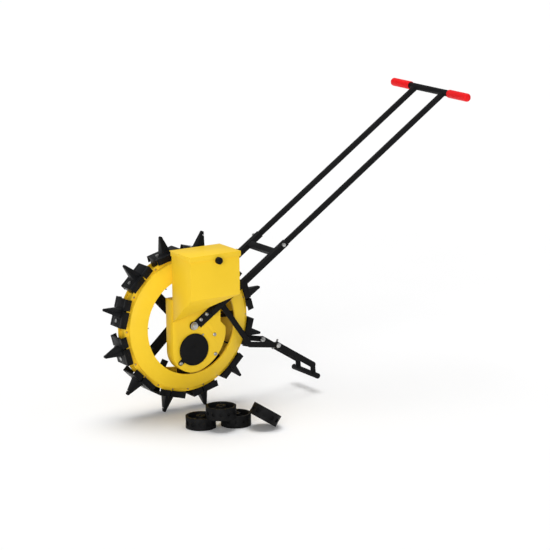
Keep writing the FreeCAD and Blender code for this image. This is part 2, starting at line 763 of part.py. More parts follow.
def seed_housing():
    """The sheet housing that holds the roller and guides the seed down into the drum."""
    depth = HOUSING_FAR_Y - HOUSING_NEAR_Y
    outline = housing_outline()
    outline.translate(Vector(0, HOUSING_NEAR_Y, 0))
    outer = outline.extrude(Vector(0, depth, 0))
    inset = outline.makeOffset2D(-SHEET)
    inset.translate(Vector(0, SHEET, 0))
    shell = outer.cut(inset.extrude(Vector(0, depth - 2 * SHEET, 0)))
    near = HOUSING_NEAR_Y
    far = HOUSING_FAR_Y
    posts = [cylinder_y(POST_RADIUS, near + SHEET / 2, far - SHEET / 2, at) for at in PLATE_SCREWS]
    plate = near + SHEET
    outlet = box(
        -OUTLET_HALF,
        OUTLET_HALF,
        plate + OUTLET_MARGIN,
        far - SHEET - OUTLET_MARGIN,
        ROLLER_AXIS[1] - HOUSING_BOTTOM_RADIUS - SHEET,
        ROLLER_AXIS[1] - ROLLER_RADIUS,
    )
    holes = [
        cylinder_y(ROLLER_RADIUS + PORT_GAP, near, plate, ROLLER_AXIS),
        cylinder_y(SHAFT_RADIUS + RUNNING, far - SHEET, far, ROLLER_AXIS),
        cylinder_y(AXLE_RADIUS + RUNNING, near, far),
        cylinder_y(LUG_SCREW_RADIUS + RUNNING, near, plate, LUG_SCREW),
        cylinder_y(PLATE_SCREW_RADIUS + RUNNING, near, plate, keeper_place()),
        outlet,
        feed_window(near, plate),
    ]
    holes += [cylinder_y(PLATE_SCREW_RADIUS + RUNNING, near, near + 4 * SHEET, at) for at in PLATE_SCREWS]
    holes += [cylinder_y(ARM_SCREW_RADIUS + RUNNING, near, plate, along_handle(s)) for s in ARM_SCREWS]
    return fused([shell] + posts).cut(holes)


def hopper_floor(x):
    """Height of the sloping floor at x."""
    share = (x - HOPPER_LEFT) / (HOPPER_RIGHT - HOPPER_LEFT)
    return HOPPER_DRAIN + share * (HOPPER_CREASE - HOPPER_DRAIN)


def feed_window(y0, y1):
    """The opening through which seed runs from the hopper into the housing."""
    step = 2 * SHEET
    points = [
        (WINDOW_LEFT, hopper_floor(WINDOW_LEFT) + step),
        (WINDOW_RIGHT, hopper_floor(WINDOW_RIGHT) + step),
        (WINDOW_RIGHT, WINDOW_TOP),
        (WINDOW_LEFT, WINDOW_TOP),
    ]
    return prism_y(points, y0, y1)


def hopper_body(inset, top):
    """The hopper as a full block, drawn in on every side by the inset."""
    back = HOUSING_NEAR_Y
    length = HOPPER_RIGHT - HOPPER_LEFT
    depth = back - HOPPER_NEAR_Y
    fall = HOPPER_CREASE - HOPPER_DRAIN
    lift_x = inset * math.hypot(length, fall) / length
    lift_y = inset * math.hypot(depth, fall) / depth
    block = box(
        HOPPER_LEFT + inset,
        HOPPER_RIGHT - inset,
        HOPPER_NEAR_Y + inset,
        back - inset,
        HOPPER_DRAIN - fall,
        top,
    )
    deep = HOPPER_DRAIN - 2 * fall
    under_slope = prism_y(
        [
            (HOPPER_LEFT, HOPPER_DRAIN + lift_x),
            (HOPPER_RIGHT, HOPPER_CREASE + lift_x),
            (HOPPER_RIGHT, deep),
            (HOPPER_LEFT, deep),
        ],
        HOPPER_NEAR_Y,
        back,
    )
    under_front = prism_x(
        [
            (HOPPER_NEAR_Y, HOPPER_CREASE + lift_y),
            (back, HOPPER_DRAIN + lift_y),
            (back, deep),
            (HOPPER_NEAR_Y, deep),
        ],
        HOPPER_LEFT,
        HOPPER_RIGHT,
    )
    return block.cut([under_slope, under_front])


def hopper():
    """The folded hopper, with its lid hinge knuckles on the back wall."""
    shell = hopper_body(0.0, HOPPER_TOP).cut(hopper_body(SHEET, HOPPER_TOP + CUT_PAST))
    back = HOUSING_NEAR_Y
    side_hole = Part.makeCylinder(
        PLATE_SCREW_RADIUS + RUNNING,
        2 * SHEET,
        Vector(HOPPER_RIGHT - 1.5 * SHEET, HOPPER_SCREW[0], HOPPER_SCREW[1]),
        Vector(1, 0, 0),
    )
    holes = [feed_window(back - SHEET, back), side_hole]
    return fused([shell.cut(holes)] + lid_knuckles(False))


def lid_pin_place():
    return HOUSING_NEAR_Y + LID_PIN_BACK, HOPPER_TOP - LID_KNUCKLE


def lid_knuckles(on_lid):
    """Hinge knuckles along the back: two pairs, an outer one on the hopper and an inner on the lid."""
    y, z = lid_pin_place()
    knuckles = []
    for side in (-1, 1):
        middle = (HOPPER_LEFT + HOPPER_RIGHT) / 2 + side * (HOPPER_RIGHT - HOPPER_LEFT) / 4
        start = middle - LID_KNUCKLE_LENGTH if not on_lid else middle + FLAT_GAP
        tube = Part.makeCylinder(LID_KNUCKLE, LID_KNUCKLE_LENGTH, Vector(start, y, z), Vector(1, 0, 0))
        if on_lid:
            leaf = box(start, start + LID_KNUCKLE_LENGTH, y - SHEET, y + SHEET, z, HOPPER_TOP + SHEET)
        else:
            leaf = box(start, start + LID_KNUCKLE_LENGTH, HOUSING_NEAR_Y, y, z - LID_KNUCKLE, z)
        bore = Part.makeCylinder(
            LID_PIN_RADIUS + RUNNING, 2 * LID_KNUCKLE_LENGTH, Vector(start - CUT_PAST, y, z), Vector(1, 0, 0)
        )
        knuckles.append(fused([tube, leaf]).cut(bore))
    return knuckles


def hopper_lid():
    """The pressed lid: a top with a skirt on three sides, a tab for the knob and hinge leaves."""
    left = HOPPER_LEFT - LID_OVERHANG
    right = HOPPER_RIGHT + LID_OVERHANG
    near = HOPPER_NEAR_Y - LID_OVERHANG
    top = HOPPER_TOP + SHEET
    low = top - LID_HEIGHT
    back = HOUSING_NEAR_Y
    hinge_back = lid_pin_place()[0] + SHEET
    outer = box(left, right, near, back, low, top)
    inner = box(left + SHEET, right - SHEET, near + SHEET, back, low, HOPPER_TOP)
    lap = box(left, right, back, hinge_back, HOPPER_TOP, top)
    tab = box(KNOB_X - TAB_HALF_WIDTH, KNOB_X + TAB_HALF_WIDTH, near, near + SHEET, low - TAB_DROP, low)
    stud = cylinder_y(KNOB_STUD + RUNNING, near, near + SHEET, (KNOB_X, low - KNOB_DROP))
    return fused([outer.cut(inner), lap, tab] + lid_knuckles(True)).cut(stud)


def lid_pin():
    """The hinge rod along the back of the hopper."""
    y, z = lid_pin_place()
    length = (HOPPER_RIGHT - HOPPER_LEFT) / 2 + 2 * LID_KNUCKLE_LENGTH + 2 * LID_OVERHANG
    start = (HOPPER_LEFT + HOPPER_RIGHT - length) / 2
    return Part.makeCylinder(LID_PIN_RADIUS, length, Vector(start, y, z), Vector(1, 0, 0))


def lid_knob():
    """The round pull knob on the lid's tab, with its stud."""
    near = HOPPER_NEAR_Y - LID_OVERHANG
    low = HOPPER_TOP + SHEET - LID_HEIGHT
    at = (KNOB_X, low - KNOB_DROP)
    ball = cylinder_y(KNOB_RADIUS, near - KNOB_LENGTH, near, at)
    rounded = ball.makeFillet(KNOB_LENGTH / 3, [ball.Edges[i] for i in rim_edges(ball, near - KNOB_LENGTH)])
    return fused([rounded, cylinder_y(KNOB_STUD, near, near + SHEET, at)])


def rim_edges(shape, y):
    """Indices of the round edges of a turned piece that lie at y."""
    found = []
    for i, edge in enumerate(shape.Edges):
        bounds = edge.BoundBox
        if abs(bounds.YMin - y) < 1e-3 and abs(bounds.YMax - y) < 1e-3:
            found.append(i)
    return found


def roller_cover():
    """The round cover over the roller, with its lug, raised rim and middle boss."""
    near = HOUSING_NEAR_Y - COVER_PLATE
    far = HOUSING_NEAR_Y
    disc = cylinder_y(COVER_RADIUS, near, far, ROLLER_AXIS)
    rim = cylinder_y(COVER_RADIUS, near - COVER_RIM, near, ROLLER_AXIS).cut(
        cylinder_y(COVER_RADIUS - COVER_RIM_WIDTH, near - COVER_RIM, near, ROLLER_AXIS)
    )
    boss = cylinder_y(COVER_BOSS_RADIUS, near - COVER_RIM, near, ROLLER_AXIS)
    span_x = LUG_SCREW[0] - ROLLER_AXIS[0]
    span_z = LUG_SCREW[1] - ROLLER_AXIS[1]
    span = math.hypot(span_x, span_z)
    side = (-span_z / span * LUG_RADIUS, span_x / span * LUG_RADIUS)
    arm = prism_y(
        [
            (ROLLER_AXIS[0] + side[0] + span_x / 2, ROLLER_AXIS[1] + side[1] + span_z / 2),
            (LUG_SCREW[0] + side[0], LUG_SCREW[1] + side[1]),
            (LUG_SCREW[0] - side[0], LUG_SCREW[1] - side[1]),
            (ROLLER_AXIS[0] - side[0] + span_x / 2, ROLLER_AXIS[1] - side[1] + span_z / 2),
        ],
        near,
        far,
    )
    lug = cylinder_y(LUG_RADIUS, near, far, LUG_SCREW)
    bore = cylinder_y(LUG_SCREW_RADIUS + RUNNING, near, far, LUG_SCREW)
    return fused([disc, rim, boss, arm, lug]).cut(bore)


def keeper_place():
    """The small screw beside the edge of the round cover."""
    reach = COVER_RADIUS + PLATE_SCREW_HEAD / 2 + FLAT_GAP
    angle = math.radians(KEEPER_ANGLE)
    return ROLLER_AXIS[0] + reach * math.cos(angle), ROLLER_AXIS[1] + reach * math.sin(angle)


def headed_screw(radius, length, head, height, face, at):
    """A screw from the near side whose head bears on the face."""
    return fused([cylinder_y(radius, face, face + length, at), cylinder_y(head, face - height, face, at)])


def housing_screws():
    """Lug screw, plate screws, keeper, arm screws and the screw in the hopper's side."""
    near = HOUSING_NEAR_Y
    reach = 3 * SHEET
    screws = [
        headed_screw(
            LUG_SCREW_RADIUS,
            COVER_PLATE + reach,
            LUG_SCREW_HEAD,
            PLATE_SCREW_HEIGHT,
            near - COVER_PLATE,
            LUG_SCREW,
        ),
        headed_screw(
            PLATE_SCREW_RADIUS,
            reach,
            PLATE_SCREW_HEAD / 2,
            PLATE_SCREW_HEIGHT,
            near,
            keeper_place(),
        ),
    ]
    for at in PLATE_SCREWS:
        screws.append(
            headed_screw(PLATE_SCREW_RADIUS, reach, PLATE_SCREW_HEAD, PLATE_SCREW_HEIGHT, near, at)
        )
    for s in ARM_SCREWS:
        screws.append(
            headed_screw(
                ARM_SCREW_RADIUS,
                ARM_PLATE + reach,
                ARM_SCREW_HEAD,
                ARM_SCREW_HEIGHT,
                near - ARM_PLATE,
                along_handle(s),
            )
        )
    side = Vector(HOPPER_RIGHT, HOPPER_SCREW[0], HOPPER_SCREW[1])
    screws.append(
        fused(
            [
                Part.makeCylinder(PLATE_SCREW_RADIUS, SHEET + FLAT_GAP, side, Vector(-1, 0, 0)),
                Part.makeCylinder(PLATE_SCREW_HEAD / 2, PLATE_SCREW_HEIGHT, side, Vector(1, 0, 0)),
            ]
        )
    )
    return Part.makeCompound(screws)


def axle():
    """The fixed axle, with a collar that keeps the wheel off the far arm."""
    reach = ARM_Y
    collar_start = HUB_FAR_Y + BUSH_FLANGE_WIDTH + FLAT_GAP
    rod = cylinder_y(AXLE_RADIUS, -reach, reach)
    collar = cylinder_y(COLLAR_RADIUS, collar_start, -HOUSING_NEAR_Y)
    tapped = [
        cylinder_y(END_BOLT_RADIUS + RUNNING, -reach, END_BOLT_LENGTH - reach),
        cylinder_y(END_BOLT_RADIUS + RUNNING, reach - END_BOLT_LENGTH, reach),
    ]
    return fused([rod, collar]).cut(tapped)


def axle_bolts():
    """A hexagon bolt and washer at each end of the axle."""
    face = -ARM_Y
    bolt = fused(
        [
            cylinder_y(END_BOLT_RADIUS, face - WASHER, face + END_BOLT_LENGTH - 2 * RUNNING),
            cylinder_y(WASHER_RADIUS, face - WASHER, face),
            hexagon_y(END_BOLT_FLATS, face - WASHER - END_BOLT_HEAD, face - WASHER),
        ]
    )
    return Part.makeCompound([bolt, mirrored(bolt)])


def fork_arm():
    """The near arm: an end plate round the axle and a square tube welded on it."""
    outer_y = -ARM_Y
    inner_y = HOUSING_NEAR_Y
    plate = handle_bar(ARM_START, ARM_END, ARM_LOW, ARM_HIGH, outer_y, inner_y)
    neck = handle_bar(0, ARM_START, -ARM_END_RADIUS, ARM_HIGH, outer_y, inner_y)
    eye = cylinder_y(ARM_END_RADIUS, outer_y, inner_y)
    middle = outer_y - LOWER_TUBE / 2
    bore_half = UPPER_TUBE / 2 + TUBE_GAP
    tube = square_bar(LOWER_TUBE_START, LOWER_TUBE_END, middle, LOWER_TUBE / 2)
    bore = square_bar(LOWER_TUBE_START + LOWER_TUBE, LOWER_TUBE_END, middle, bore_half)
    holes = [cylinder_y(AXLE_RADIUS + RUNNING, outer_y, inner_y)]
    holes += [cylinder_y(ARM_SCREW_RADIUS + RUNNING, outer_y, inner_y, along_handle(s)) for s in ARM_SCREWS]
    holes.append(
        cylinder_y(
            CLAMP_RADIUS + RUNNING,
            outer_y - LOWER_TUBE,
            middle - bore_half,
            along_handle(CLAMP_AT, CLAMP_OFFSET),
        )
    )
    return fused([plate, neck, eye, tube]).cut([bore] + holes)


def fork_frame():
    """Both arms and the brace between them, welded together."""
    near = fork_arm()
    brace = handle_bar(
        BRACE_AT - BRACE_WIDTH / 2,
        BRACE_AT + BRACE_WIDTH / 2,
        -HANDLE_DROP - BRACE_HEIGHT / 2,
        -HANDLE_DROP + BRACE_HEIGHT / 2,
        -ARM_Y,
        ARM_Y,
    )
    return fused([near, mirrored(near), brace])


def clamp_screws():
    """One screw through each lower tube that presses on the tube inside it."""
    outer = -ARM_Y - LOWER_TUBE
    inner = -ARM_Y - LOWER_TUBE / 2 - UPPER_TUBE / 2 - RUNNING
    at = along_handle(CLAMP_AT, CLAMP_OFFSET)
    shank = cylinder_y(CLAMP_RADIUS, outer, inner, at)
    head = hexagon_y(CLAMP_FLATS, outer - CLAMP_HEAD, outer, at)
    screw = fused([shank, head])
    return Part.makeCompound([screw, mirrored(screw)])


def handle_frame():
    """The two inner tubes and the cross bar they carry."""
    middle = -ARM_Y - LOWER_TUBE / 2
    half = UPPER_TUBE / 2
    hollow = half - UPPER_TUBE_WALL
    tube = square_bar(UPPER_TUBE_START, BAR_AT, middle, half)
    tube = tube.cut(square_bar(UPPER_TUBE_START, BAR_AT - BAR_RADIUS, middle, hollow))
    at = along_handle(BAR_AT, -HANDLE_DROP)
    reach = BAR_HALF - GRIP_END
    bar = cylinder_y(BAR_RADIUS, -reach, reach, at)
    bar_bore = cylinder_y(BAR_RADIUS - BAR_WALL, -reach, reach, at)
    return fused([tube, mirrored(tube), bar]).cut(bar_bore)


def grip():
    """The near grip: a sleeve with a closed round end."""
    at = along_handle(BAR_AT, -HANDLE_DROP)
    body = cylinder_y(GRIP_RADIUS, -BAR_HALF, GRIP_LENGTH - BAR_HALF, at)
    outer_edges = [body.Edges[i] for i in rim_edges(body, -BAR_HALF)]
    body = body.makeFillet(GRIP_END, outer_edges)
    bore = cylinder_y(BAR_RADIUS + RUNNING, GRIP_END - BAR_HALF, GRIP_LENGTH - BAR_HALF, at)
    return body.cut(bore)


def band(points, half):
    """Corners of a band of constant width along a bent line of X and Z points."""
    left = []
    right = []
    for i, (x, z) in enumerate(points):
        before = points[max(i - 1, 0)]
        after = points[min(i + 1, len(points) - 1)]
        first = unit(before, (x, z)) if i else unit((x, z), after)
        second = unit((x, z), after) if i < len(points) - 1 else first
        sum_x = first[0] + second[0]
        sum_z = first[1] + second[1]
        scale = 2 * half / (sum_x**2 + sum_z**2)
        left.append((x - sum_z * scale, z + sum_x * scale))
        right.append((x + sum_z * scale, z - sum_x * scale))
    return left + right[::-1]


def unit(start, end):
    length = math.hypot(end[0] - start[0], end[1] - start[1])
    return (end[0] - start[0]) / length, (end[1] - start[1]) / length


def rear_bracket():
    """The near bracket: a flat bar down from the tube, cranked in to the stand's pivot."""
    start = along_handle(BRACKET_START, -HANDLE_DROP)
    outer = -ARM_Y
    inner = outer + BRACKET_PLATE
    pivot_inner = -STAND_HALF
    pivot_outer = pivot_inner - BRACKET_PLATE
    end_x = PIVOT[0] + BRACKET_WIDTH
    crank_end = PIVOT[0] - BRACKET_WIDTH
    side = prism_y(band([start, BRACKET_BEND, PIVOT], BRACKET_WIDTH / 2), outer, pivot_inner)
    side = fused([side, cylinder_y(BRACKET_WIDTH / 2, outer, pivot_inner, PIVOT)])
    plan = prism_z(
        [
            (start[0] - BRACKET_WIDTH, outer),
            (BRACKET_BEND[0], outer),
            (crank_end, pivot_outer),
            (end_x, pivot_outer),
            (end_x, pivot_inner),
            (crank_end, pivot_inner),
            (BRACKET_BEND[0], inner),
            (start[0] - BRACKET_WIDTH, inner),
        ],
        PIVOT[1] - BRACKET_WIDTH,
        start[1] + BRACKET_WIDTH,
    )
    return side.common(plan).cut(cylinder_y(PIVOT_RADIUS + RUNNING, pivot_outer, pivot_inner, PIVOT))


def stand_side():
    """One side bar of the drag stand: pivot eye, long arm and the leg down to the foot."""
    outer = -STAND_HALF
    inner = outer + STAND_PLATE
    arm = prism_y(band([PIVOT, STAND_CORNER], STAND_WIDTH / 2), outer, inner)
    eye = cylinder_y(STAND_WIDTH / 2, outer, inner, PIVOT)
    corner = cylinder_y(STAND_WIDTH / 2, outer, inner, STAND_CORNER)
    leg = prism_y(band([STAND_CORNER, FOOT_AT], STAND_LEG_WIDTH / 2), outer, inner)
    hole = cylinder_y(PIVOT_RADIUS + RUNNING, outer, inner, PIVOT)
    return fused([arm, eye, corner, leg]).cut(hole)


def drag_stand():
    """Both side bars and the round foot bar, welded together."""
    side = stand_side()
    foot = cylinder_y(FOOT_RADIUS, -FOOT_HALF, FOOT_HALF, FOOT_AT)
    return fused([side, mirrored(side), foot])


def pivot_bolts():
    """The stand's pivot bolts; the far one has a plain nut."""
    head_face = -STAND_HALF - BRACKET_PLATE
    inner = -STAND_HALF + STAND_PLATE
    bolt = fused(
        [
            cylinder_y(PIVOT_RADIUS, head_face, inner + WING_HEIGHT + SHEET, PIVOT),
            hexagon_y(PIVOT_FLATS, head_face - PIVOT_HEAD, head_face, PIVOT),
        ]
    )
    nut = hexagon_y(PIVOT_FLATS, inner + RUNNING, inner + RUNNING + PIVOT_HEAD, PIVOT)
    return Part.makeCompound([bolt, mirrored(fused([bolt, nut]))])


def wing_nut():
    """The wing nut on the near pivot bolt."""
    face = -STAND_HALF + STAND_PLATE + RUNNING
    hub = cylinder_y(WING_HUB, face, face + WING_HEIGHT, PIVOT)
    wings = []
    for side in (-1, 1):
        outline = [
            (face, 0.0),
            (face + WING_HEIGHT, 0.0),
            (face + 1.6 * WING_HEIGHT, WING_SPAN),
            (face + 0.6 * WING_HEIGHT, WING_SPAN),
        ]
        wing = prism_x(outline, -WING_PLATE / 2, WING_PLATE / 2)
        wing.rotate(Vector(0, 0, 0), AXIS_Y, 90 - WING_ANGLE + (180 if side > 0 else 0))
        wing.translate(Vector(PIVOT[0], 0, PIVOT[1]))
        wings.append(wing)
    bore = cylinder_y(PIVOT_RADIUS + RUNNING, face, face + 2 * WING_HEIGHT, PIVOT)
    return fused([hub] + wings).cut(bore)


def pieces():
    """Every named piece of the seeder in the axle-centred frame."""
    near_cover = drum_cover()
    near_grip = grip()
    near_bracket = rear_bracket()
    near_screws = screw_set(SCREW_RADIUS, SCREW_HEAD_RADIUS)
    chambers = [around(chamber_plate(), i * 360.0 / BEAK_COUNT) for i in range(BEAK_COUNT)]
    shapes = {
        "drum_cover_near": near_cover,
        "drum_cover_far": mirrored(near_cover),
        "rim_band": rim_band(),
        "chamber_plates": Part.makeCompound(chambers),
        "spoke_cross": spoke_cross(),
        "wheel_hub": wheel_hub(),
        "hub_bushes": hub_bushes(),
        "hub_gear": hub_gear(),
        "cover_screws": Part.makeCompound([near_screws, mirrored(near_screws)]),
        "saddle_bolts": Part.makeCompound([around(saddle_bolt(), a) for a in beak_angles()]),
        "beak_hinge_pins": Part.makeCompound([around(hinge_pin(), a) for a in beak_angles()]),
        "beak_springs": Part.makeCompound([around(beak_spring(), a) for a in beak_angles()]),
        "axle": axle(),
        "axle_bolts": axle_bolts(),
        "fork_frame": fork_frame(),
        "clamp_screws": clamp_screws(),
        "seed_housing": seed_housing(),
        "housing_screws": housing_screws(),
        "hopper": hopper(),
        "lid_pin": lid_pin(),
        "hopper_lid": hopper_lid(),
        "lid_knob": lid_knob(),
        "drive_pinion": drive_pinion(),
        "seed_roller": working_roller(),
        "roller_cover": roller_cover(),
        "rear_brackets": Part.makeCompound([near_bracket, mirrored(near_bracket)]),
        "pivot_bolts": pivot_bolts(),
        "wing_nut": wing_nut(),
        "drag_stand": drag_stand(),
        "handle_frame": handle_frame(),
        "grip_near": near_grip,
        "grip_far": mirrored(near_grip),
    }
    fixed = fixed_beak()
    flap = beak_flap()
    for i, angle in enumerate(beak_angles(), start=1):
        shapes[f"fixed_beak_{i:02d}"] = around(fixed, angle)
        shapes[f"beak_flap_{i:02d}"] = around(flap, angle)
    for i, roller in enumerate(spare_rollers(), start=1):
        shapes[f"spare_roller_{i}"] = roller
    return shapes


def main():
    shapes = pieces()
    bounds = Part.makeCompound(list(shapes.values())).BoundBox
    shift = Vector(-bounds.Center.x, -bounds.Center.y, -bounds.ZMin)
    print("origin shift", round(shift.x, 4), round(shift.y, 4), round(shift.z, 4))
    os.makedirs("parts", exist_ok=True)
    for name, shape in shapes.items():
        placed = shape.copy()
        placed.translate(shift)
        placed.exportStep(f"parts/{name}.step")


main()
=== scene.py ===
"""Looks of a dial seed sower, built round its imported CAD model.

Metres in the model's own frame: +X runs towards the handle, -Y is the hopper's side and Z is up.
Places marked mm are measured from the centre of the wheel's axle.
"""

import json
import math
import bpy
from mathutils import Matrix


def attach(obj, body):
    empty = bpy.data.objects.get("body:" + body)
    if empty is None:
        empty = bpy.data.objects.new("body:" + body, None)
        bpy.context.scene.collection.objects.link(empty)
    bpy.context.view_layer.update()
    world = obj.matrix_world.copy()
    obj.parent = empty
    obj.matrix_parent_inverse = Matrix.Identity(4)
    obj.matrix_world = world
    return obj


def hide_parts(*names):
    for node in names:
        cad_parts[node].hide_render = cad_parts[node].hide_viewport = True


bl_info = {
    "name": "Dial Seed Sower",
    "version": (1, 0, 0),
    "blender": (4, 5, 0),
    "location": "View3D > Sidebar > Seed Sower",
    "description": "Finishes, fasteners, springs and stage of a dial seed sower",
    "category": "Add Mesh",
}

import bpy
from mathutils import Matrix, Vector

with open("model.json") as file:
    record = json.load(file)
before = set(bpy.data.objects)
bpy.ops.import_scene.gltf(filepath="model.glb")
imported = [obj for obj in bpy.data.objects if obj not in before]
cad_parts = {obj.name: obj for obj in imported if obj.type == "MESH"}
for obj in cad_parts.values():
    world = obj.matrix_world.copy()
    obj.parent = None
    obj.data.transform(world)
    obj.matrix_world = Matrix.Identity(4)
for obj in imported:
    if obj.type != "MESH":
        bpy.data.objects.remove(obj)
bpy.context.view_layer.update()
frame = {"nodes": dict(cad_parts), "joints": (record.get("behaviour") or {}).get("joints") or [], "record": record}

MM = 0.001
JOINTS = {joint["name"]: joint for joint in frame["joints"]}
SLOT_OF = {part["node"]: part["material_slot"] for part in frame["record"]["subparts"]}
BODY_OF = {
    node: body
    for body, nodes in frame["record"]["behaviour"]["bodies"].items()
    for node in nodes
}
AXLE = Vector(JOINTS["wheel_spin"]["pos_m"])
TO_NEAR = Vector((0, -1, 0))
TO_FAR = Vector((0, 1, 0))
TO_HANDLE = Vector((1, 0, 0))

# The camera of the photograph: angles in degrees, place in mm, focal length in pixels.
IMAGE_WIDTH = 550
FOCAL_PIXELS = 2667.4
SENSOR = 36.0
CAMERA_YAW = 31.643
CAMERA_PITCH = 12.852
CAMERA_ROLL = -0.695
CAMERA_PLACE = (-3581.7, -6306.2, 1783.9)

# Lamps: strength, then in degrees softness, tilt from straight down, and turn of that tilt.
LAMPS = (
    ("overhead_softbox", 2.2, 42.0, 13.0, 141.0),
    ("front_softbox", 1.8, 40.0, 81.0, -44.0),
)

SKY_STRENGTH = 0.3
FLOOR_GLOW = 0.055
FLOOR_SIZE = 80.0
CLIP_END = 100.0

COVER_SCREW_RING = 190.5
COVER_FLANGE = 20.0
HINGE_IN_BEAK = (12.5, 201.0)
SADDLE_TOP = 211.0
SADDLE_PLATE = 4.0
SADDLE_SIDE = 20.0
SADDLE_END = 41.0
SADDLE_BOLT_ALONG = -24.0
LEVER_START = 10.0
WING_GAP = 4.0
WING_SIDE = 30.0
WING_SHEET = 2.0
WING_LOW = 193.0
WING_LAP = 1.0
HOUSING_FACE = -58.0
COVER_FACE = -61.0
PLATE_SCREWS = ((67.5, -34.6), (69.7, -90.9))
KEEPER = (29.9, -29.7)
LUG_SCREW = (-43.5, -101.9)
ARM_SCREWS = (27.0, 50.0)
ARM_FACE = -62.0
HOPPER_SCREW = (90.0, -150.0, 156.0)

# Screw heads: radius and height in mm, and how far they sink into what they hold.
COVER_SCREW_HEAD = (3.0, 2.2)
SADDLE_BOLT_HEAD = (5.0, 3.0)
HOUSING_SCREW_HEAD = (5.5, 3.4)
SMALL_SCREW_HEAD = (3.0, 2.6)
SUNK = 0.3
RECESS_TURN = 1.9

# Beak springs, in mm: the coil's bore, its pitch in wires and its two legs.
SPRING_BORE = 2.6
SPRING_PITCH = 1.12
LEVER_LEG = 15.0
RIM_LEG = 14.0
WIRE_SIDES = 10
STEPS_PER_TURN = 20

# Edges of the grips sharper than this angle are rounded.
GRIP_CORNER = 50.0


def linear(code):
    """The linear colour of an sRGB hex value."""
    parts = [int(code[i : i + 2], 16) / 255 for i in (1, 3, 5)]
    return [c / 12.92 if c <= 0.04045 else ((c + 0.055) / 1.055) ** 2.4 for c in parts]


def at(x, y, z):
    """A place in mm from the axle's centre, in the model's frame."""
    return AXLE + Vector((x, y, z)) * MM


def deselect():
    """Leaves edit mode, and nothing selected."""
    if bpy.context.object and bpy.context.object.mode != "OBJECT":
        bpy.ops.object.mode_set(mode="OBJECT")
    bpy.ops.object.select_all(action="DESELECT")


def pick(piece):
    """Makes the piece the only one selected, and the active one."""
    deselect()
    piece.select_set(True)
    bpy.context.view_layer.objects.active = piece


def apply_modifier(piece, kind, **settings):
    """Adds a modifier with its settings and applies it."""
    pick(piece)
    modifier = piece.modifiers.new(kind.title(), kind)
    for key, value in settings.items():
        setattr(modifier, key, value)
    bpy.ops.object.modifier_apply(modifier=modifier.name)


def smooth(piece, corner=35.0):
    """Smooth shading that keeps corners sharper than the angle."""
    pick(piece)
    bpy.ops.object.shade_smooth_by_angle(angle=math.radians(corner))


def facing(place, direction):
    """The matrix that sets a piece built along +Z at a place, facing a direction."""
    return Matrix.Translation(place) @ direction.to_track_quat("Z", "Y").to_matrix().to_4x4()


def round_axle(angle):
    """The matrix that turns a beak's own frame to its angle round the axle."""
    return Matrix.Translation(AXLE) @ Matrix.Rotation(angle, 4, "Y")


def turned(rings, segments):
    """A turned piece along +Z, extruded ring by ring, each ring a radius and a height in mm."""
    deselect()
    radius, height = rings[0]
    bpy.ops.mesh.primitive_circle_add(
        vertices=segments, radius=radius * MM, fill_type="NGON", location=(0, 0, 0)
    )
    piece = bpy.context.object
    bpy.ops.object.mode_set(mode="EDIT")
    bpy.ops.mesh.select_all(action="SELECT")
    bpy.ops.transform.translate(value=(0, 0, height * MM))
    for (old, low), (new, high) in zip(rings, rings[1:]):
        bpy.ops.mesh.extrude_region_move(
            TRANSFORM_OT_translate={"value": (0, 0, (high - low) * MM)}
        )
        ratio = new / old
        bpy.ops.transform.resize(value=(ratio, ratio, 1), center_override=(0, 0, high * MM))
    bpy.ops.mesh.select_all(action="SELECT")
    bpy.ops.mesh.normals_make_consistent(inside=False)
    bpy.ops.object.mode_set(mode="OBJECT")
    return piece


def cross_tool(reach, width, low, high):
    """The cutter of a cross recess: two bars over each other, in mm."""
    bars = []
    for turn in (0, 90):
        deselect()
        bpy.ops.mesh.primitive_cube_add(size=1, location=(0, 0, (low + high) / 2 * MM))
        bar = bpy.context.object
        bar.scale = (2 * reach * MM, width * MM, (high - low) * MM)
        bar.rotation_euler = (0, 0, math.radians(turn))
        bpy.ops.object.transform_apply(location=True, rotation=True, scale=True)
        bars.append(bar)
    apply_modifier(bars[0], "BOOLEAN", operation="UNION", object=bars[1], solver="EXACT")
    bpy.data.objects.remove(bars[1])
    return bars[0]


def socket_tool(flats, low, high):
    """The cutter of a hexagon socket, in mm across its flats."""
    deselect()
    bpy.ops.mesh.primitive_cylinder_add(
        vertices=6,
        radius=flats / 2 / math.cos(math.pi / 6) * MM,
        depth=(high - low) * MM,
        location=(0, 0, (low + high) / 2 * MM),
    )
    bpy.ops.object.transform_apply(location=True, rotation=True, scale=True)
    return bpy.context.object


def recessed(head, tool):
    """Cuts the recess into a screw's head and smooths it."""
    apply_modifier(head, "BOOLEAN", operation="DIFFERENCE", object=tool, solver="EXACT")
    bpy.data.objects.remove(tool)
    smooth(head)
    return head


def cross_screw(radius, height, segments=20):
    """A pan head with a cross recess, in mm, standing on z = 0."""
    head = turned(
        [
            (radius, -SUNK),
            (radius, 0.45 * height),
            (0.9 * radius, 0.8 * height),
            (0.6 * radius, height),
        ],
        segments,
    )
    return recessed(head, cross_tool(0.52 * radius, 0.24 * radius, 0.5 * height, 1.2 * height))


def button_screw(radius, height, segments=28):
    """A domed head with a hexagon socket, in mm, standing on z = 0."""
    head = turned(
        [
            (radius, -SUNK),
            (radius, 0.25 * height),
            (0.95 * radius, 0.55 * height),
            (0.8 * radius, 0.82 * height),
            (0.55 * radius, height),
        ],
        segments,
    )
    return recessed(head, socket_tool(0.8 * radius, 0.35 * height, 1.2 * height))


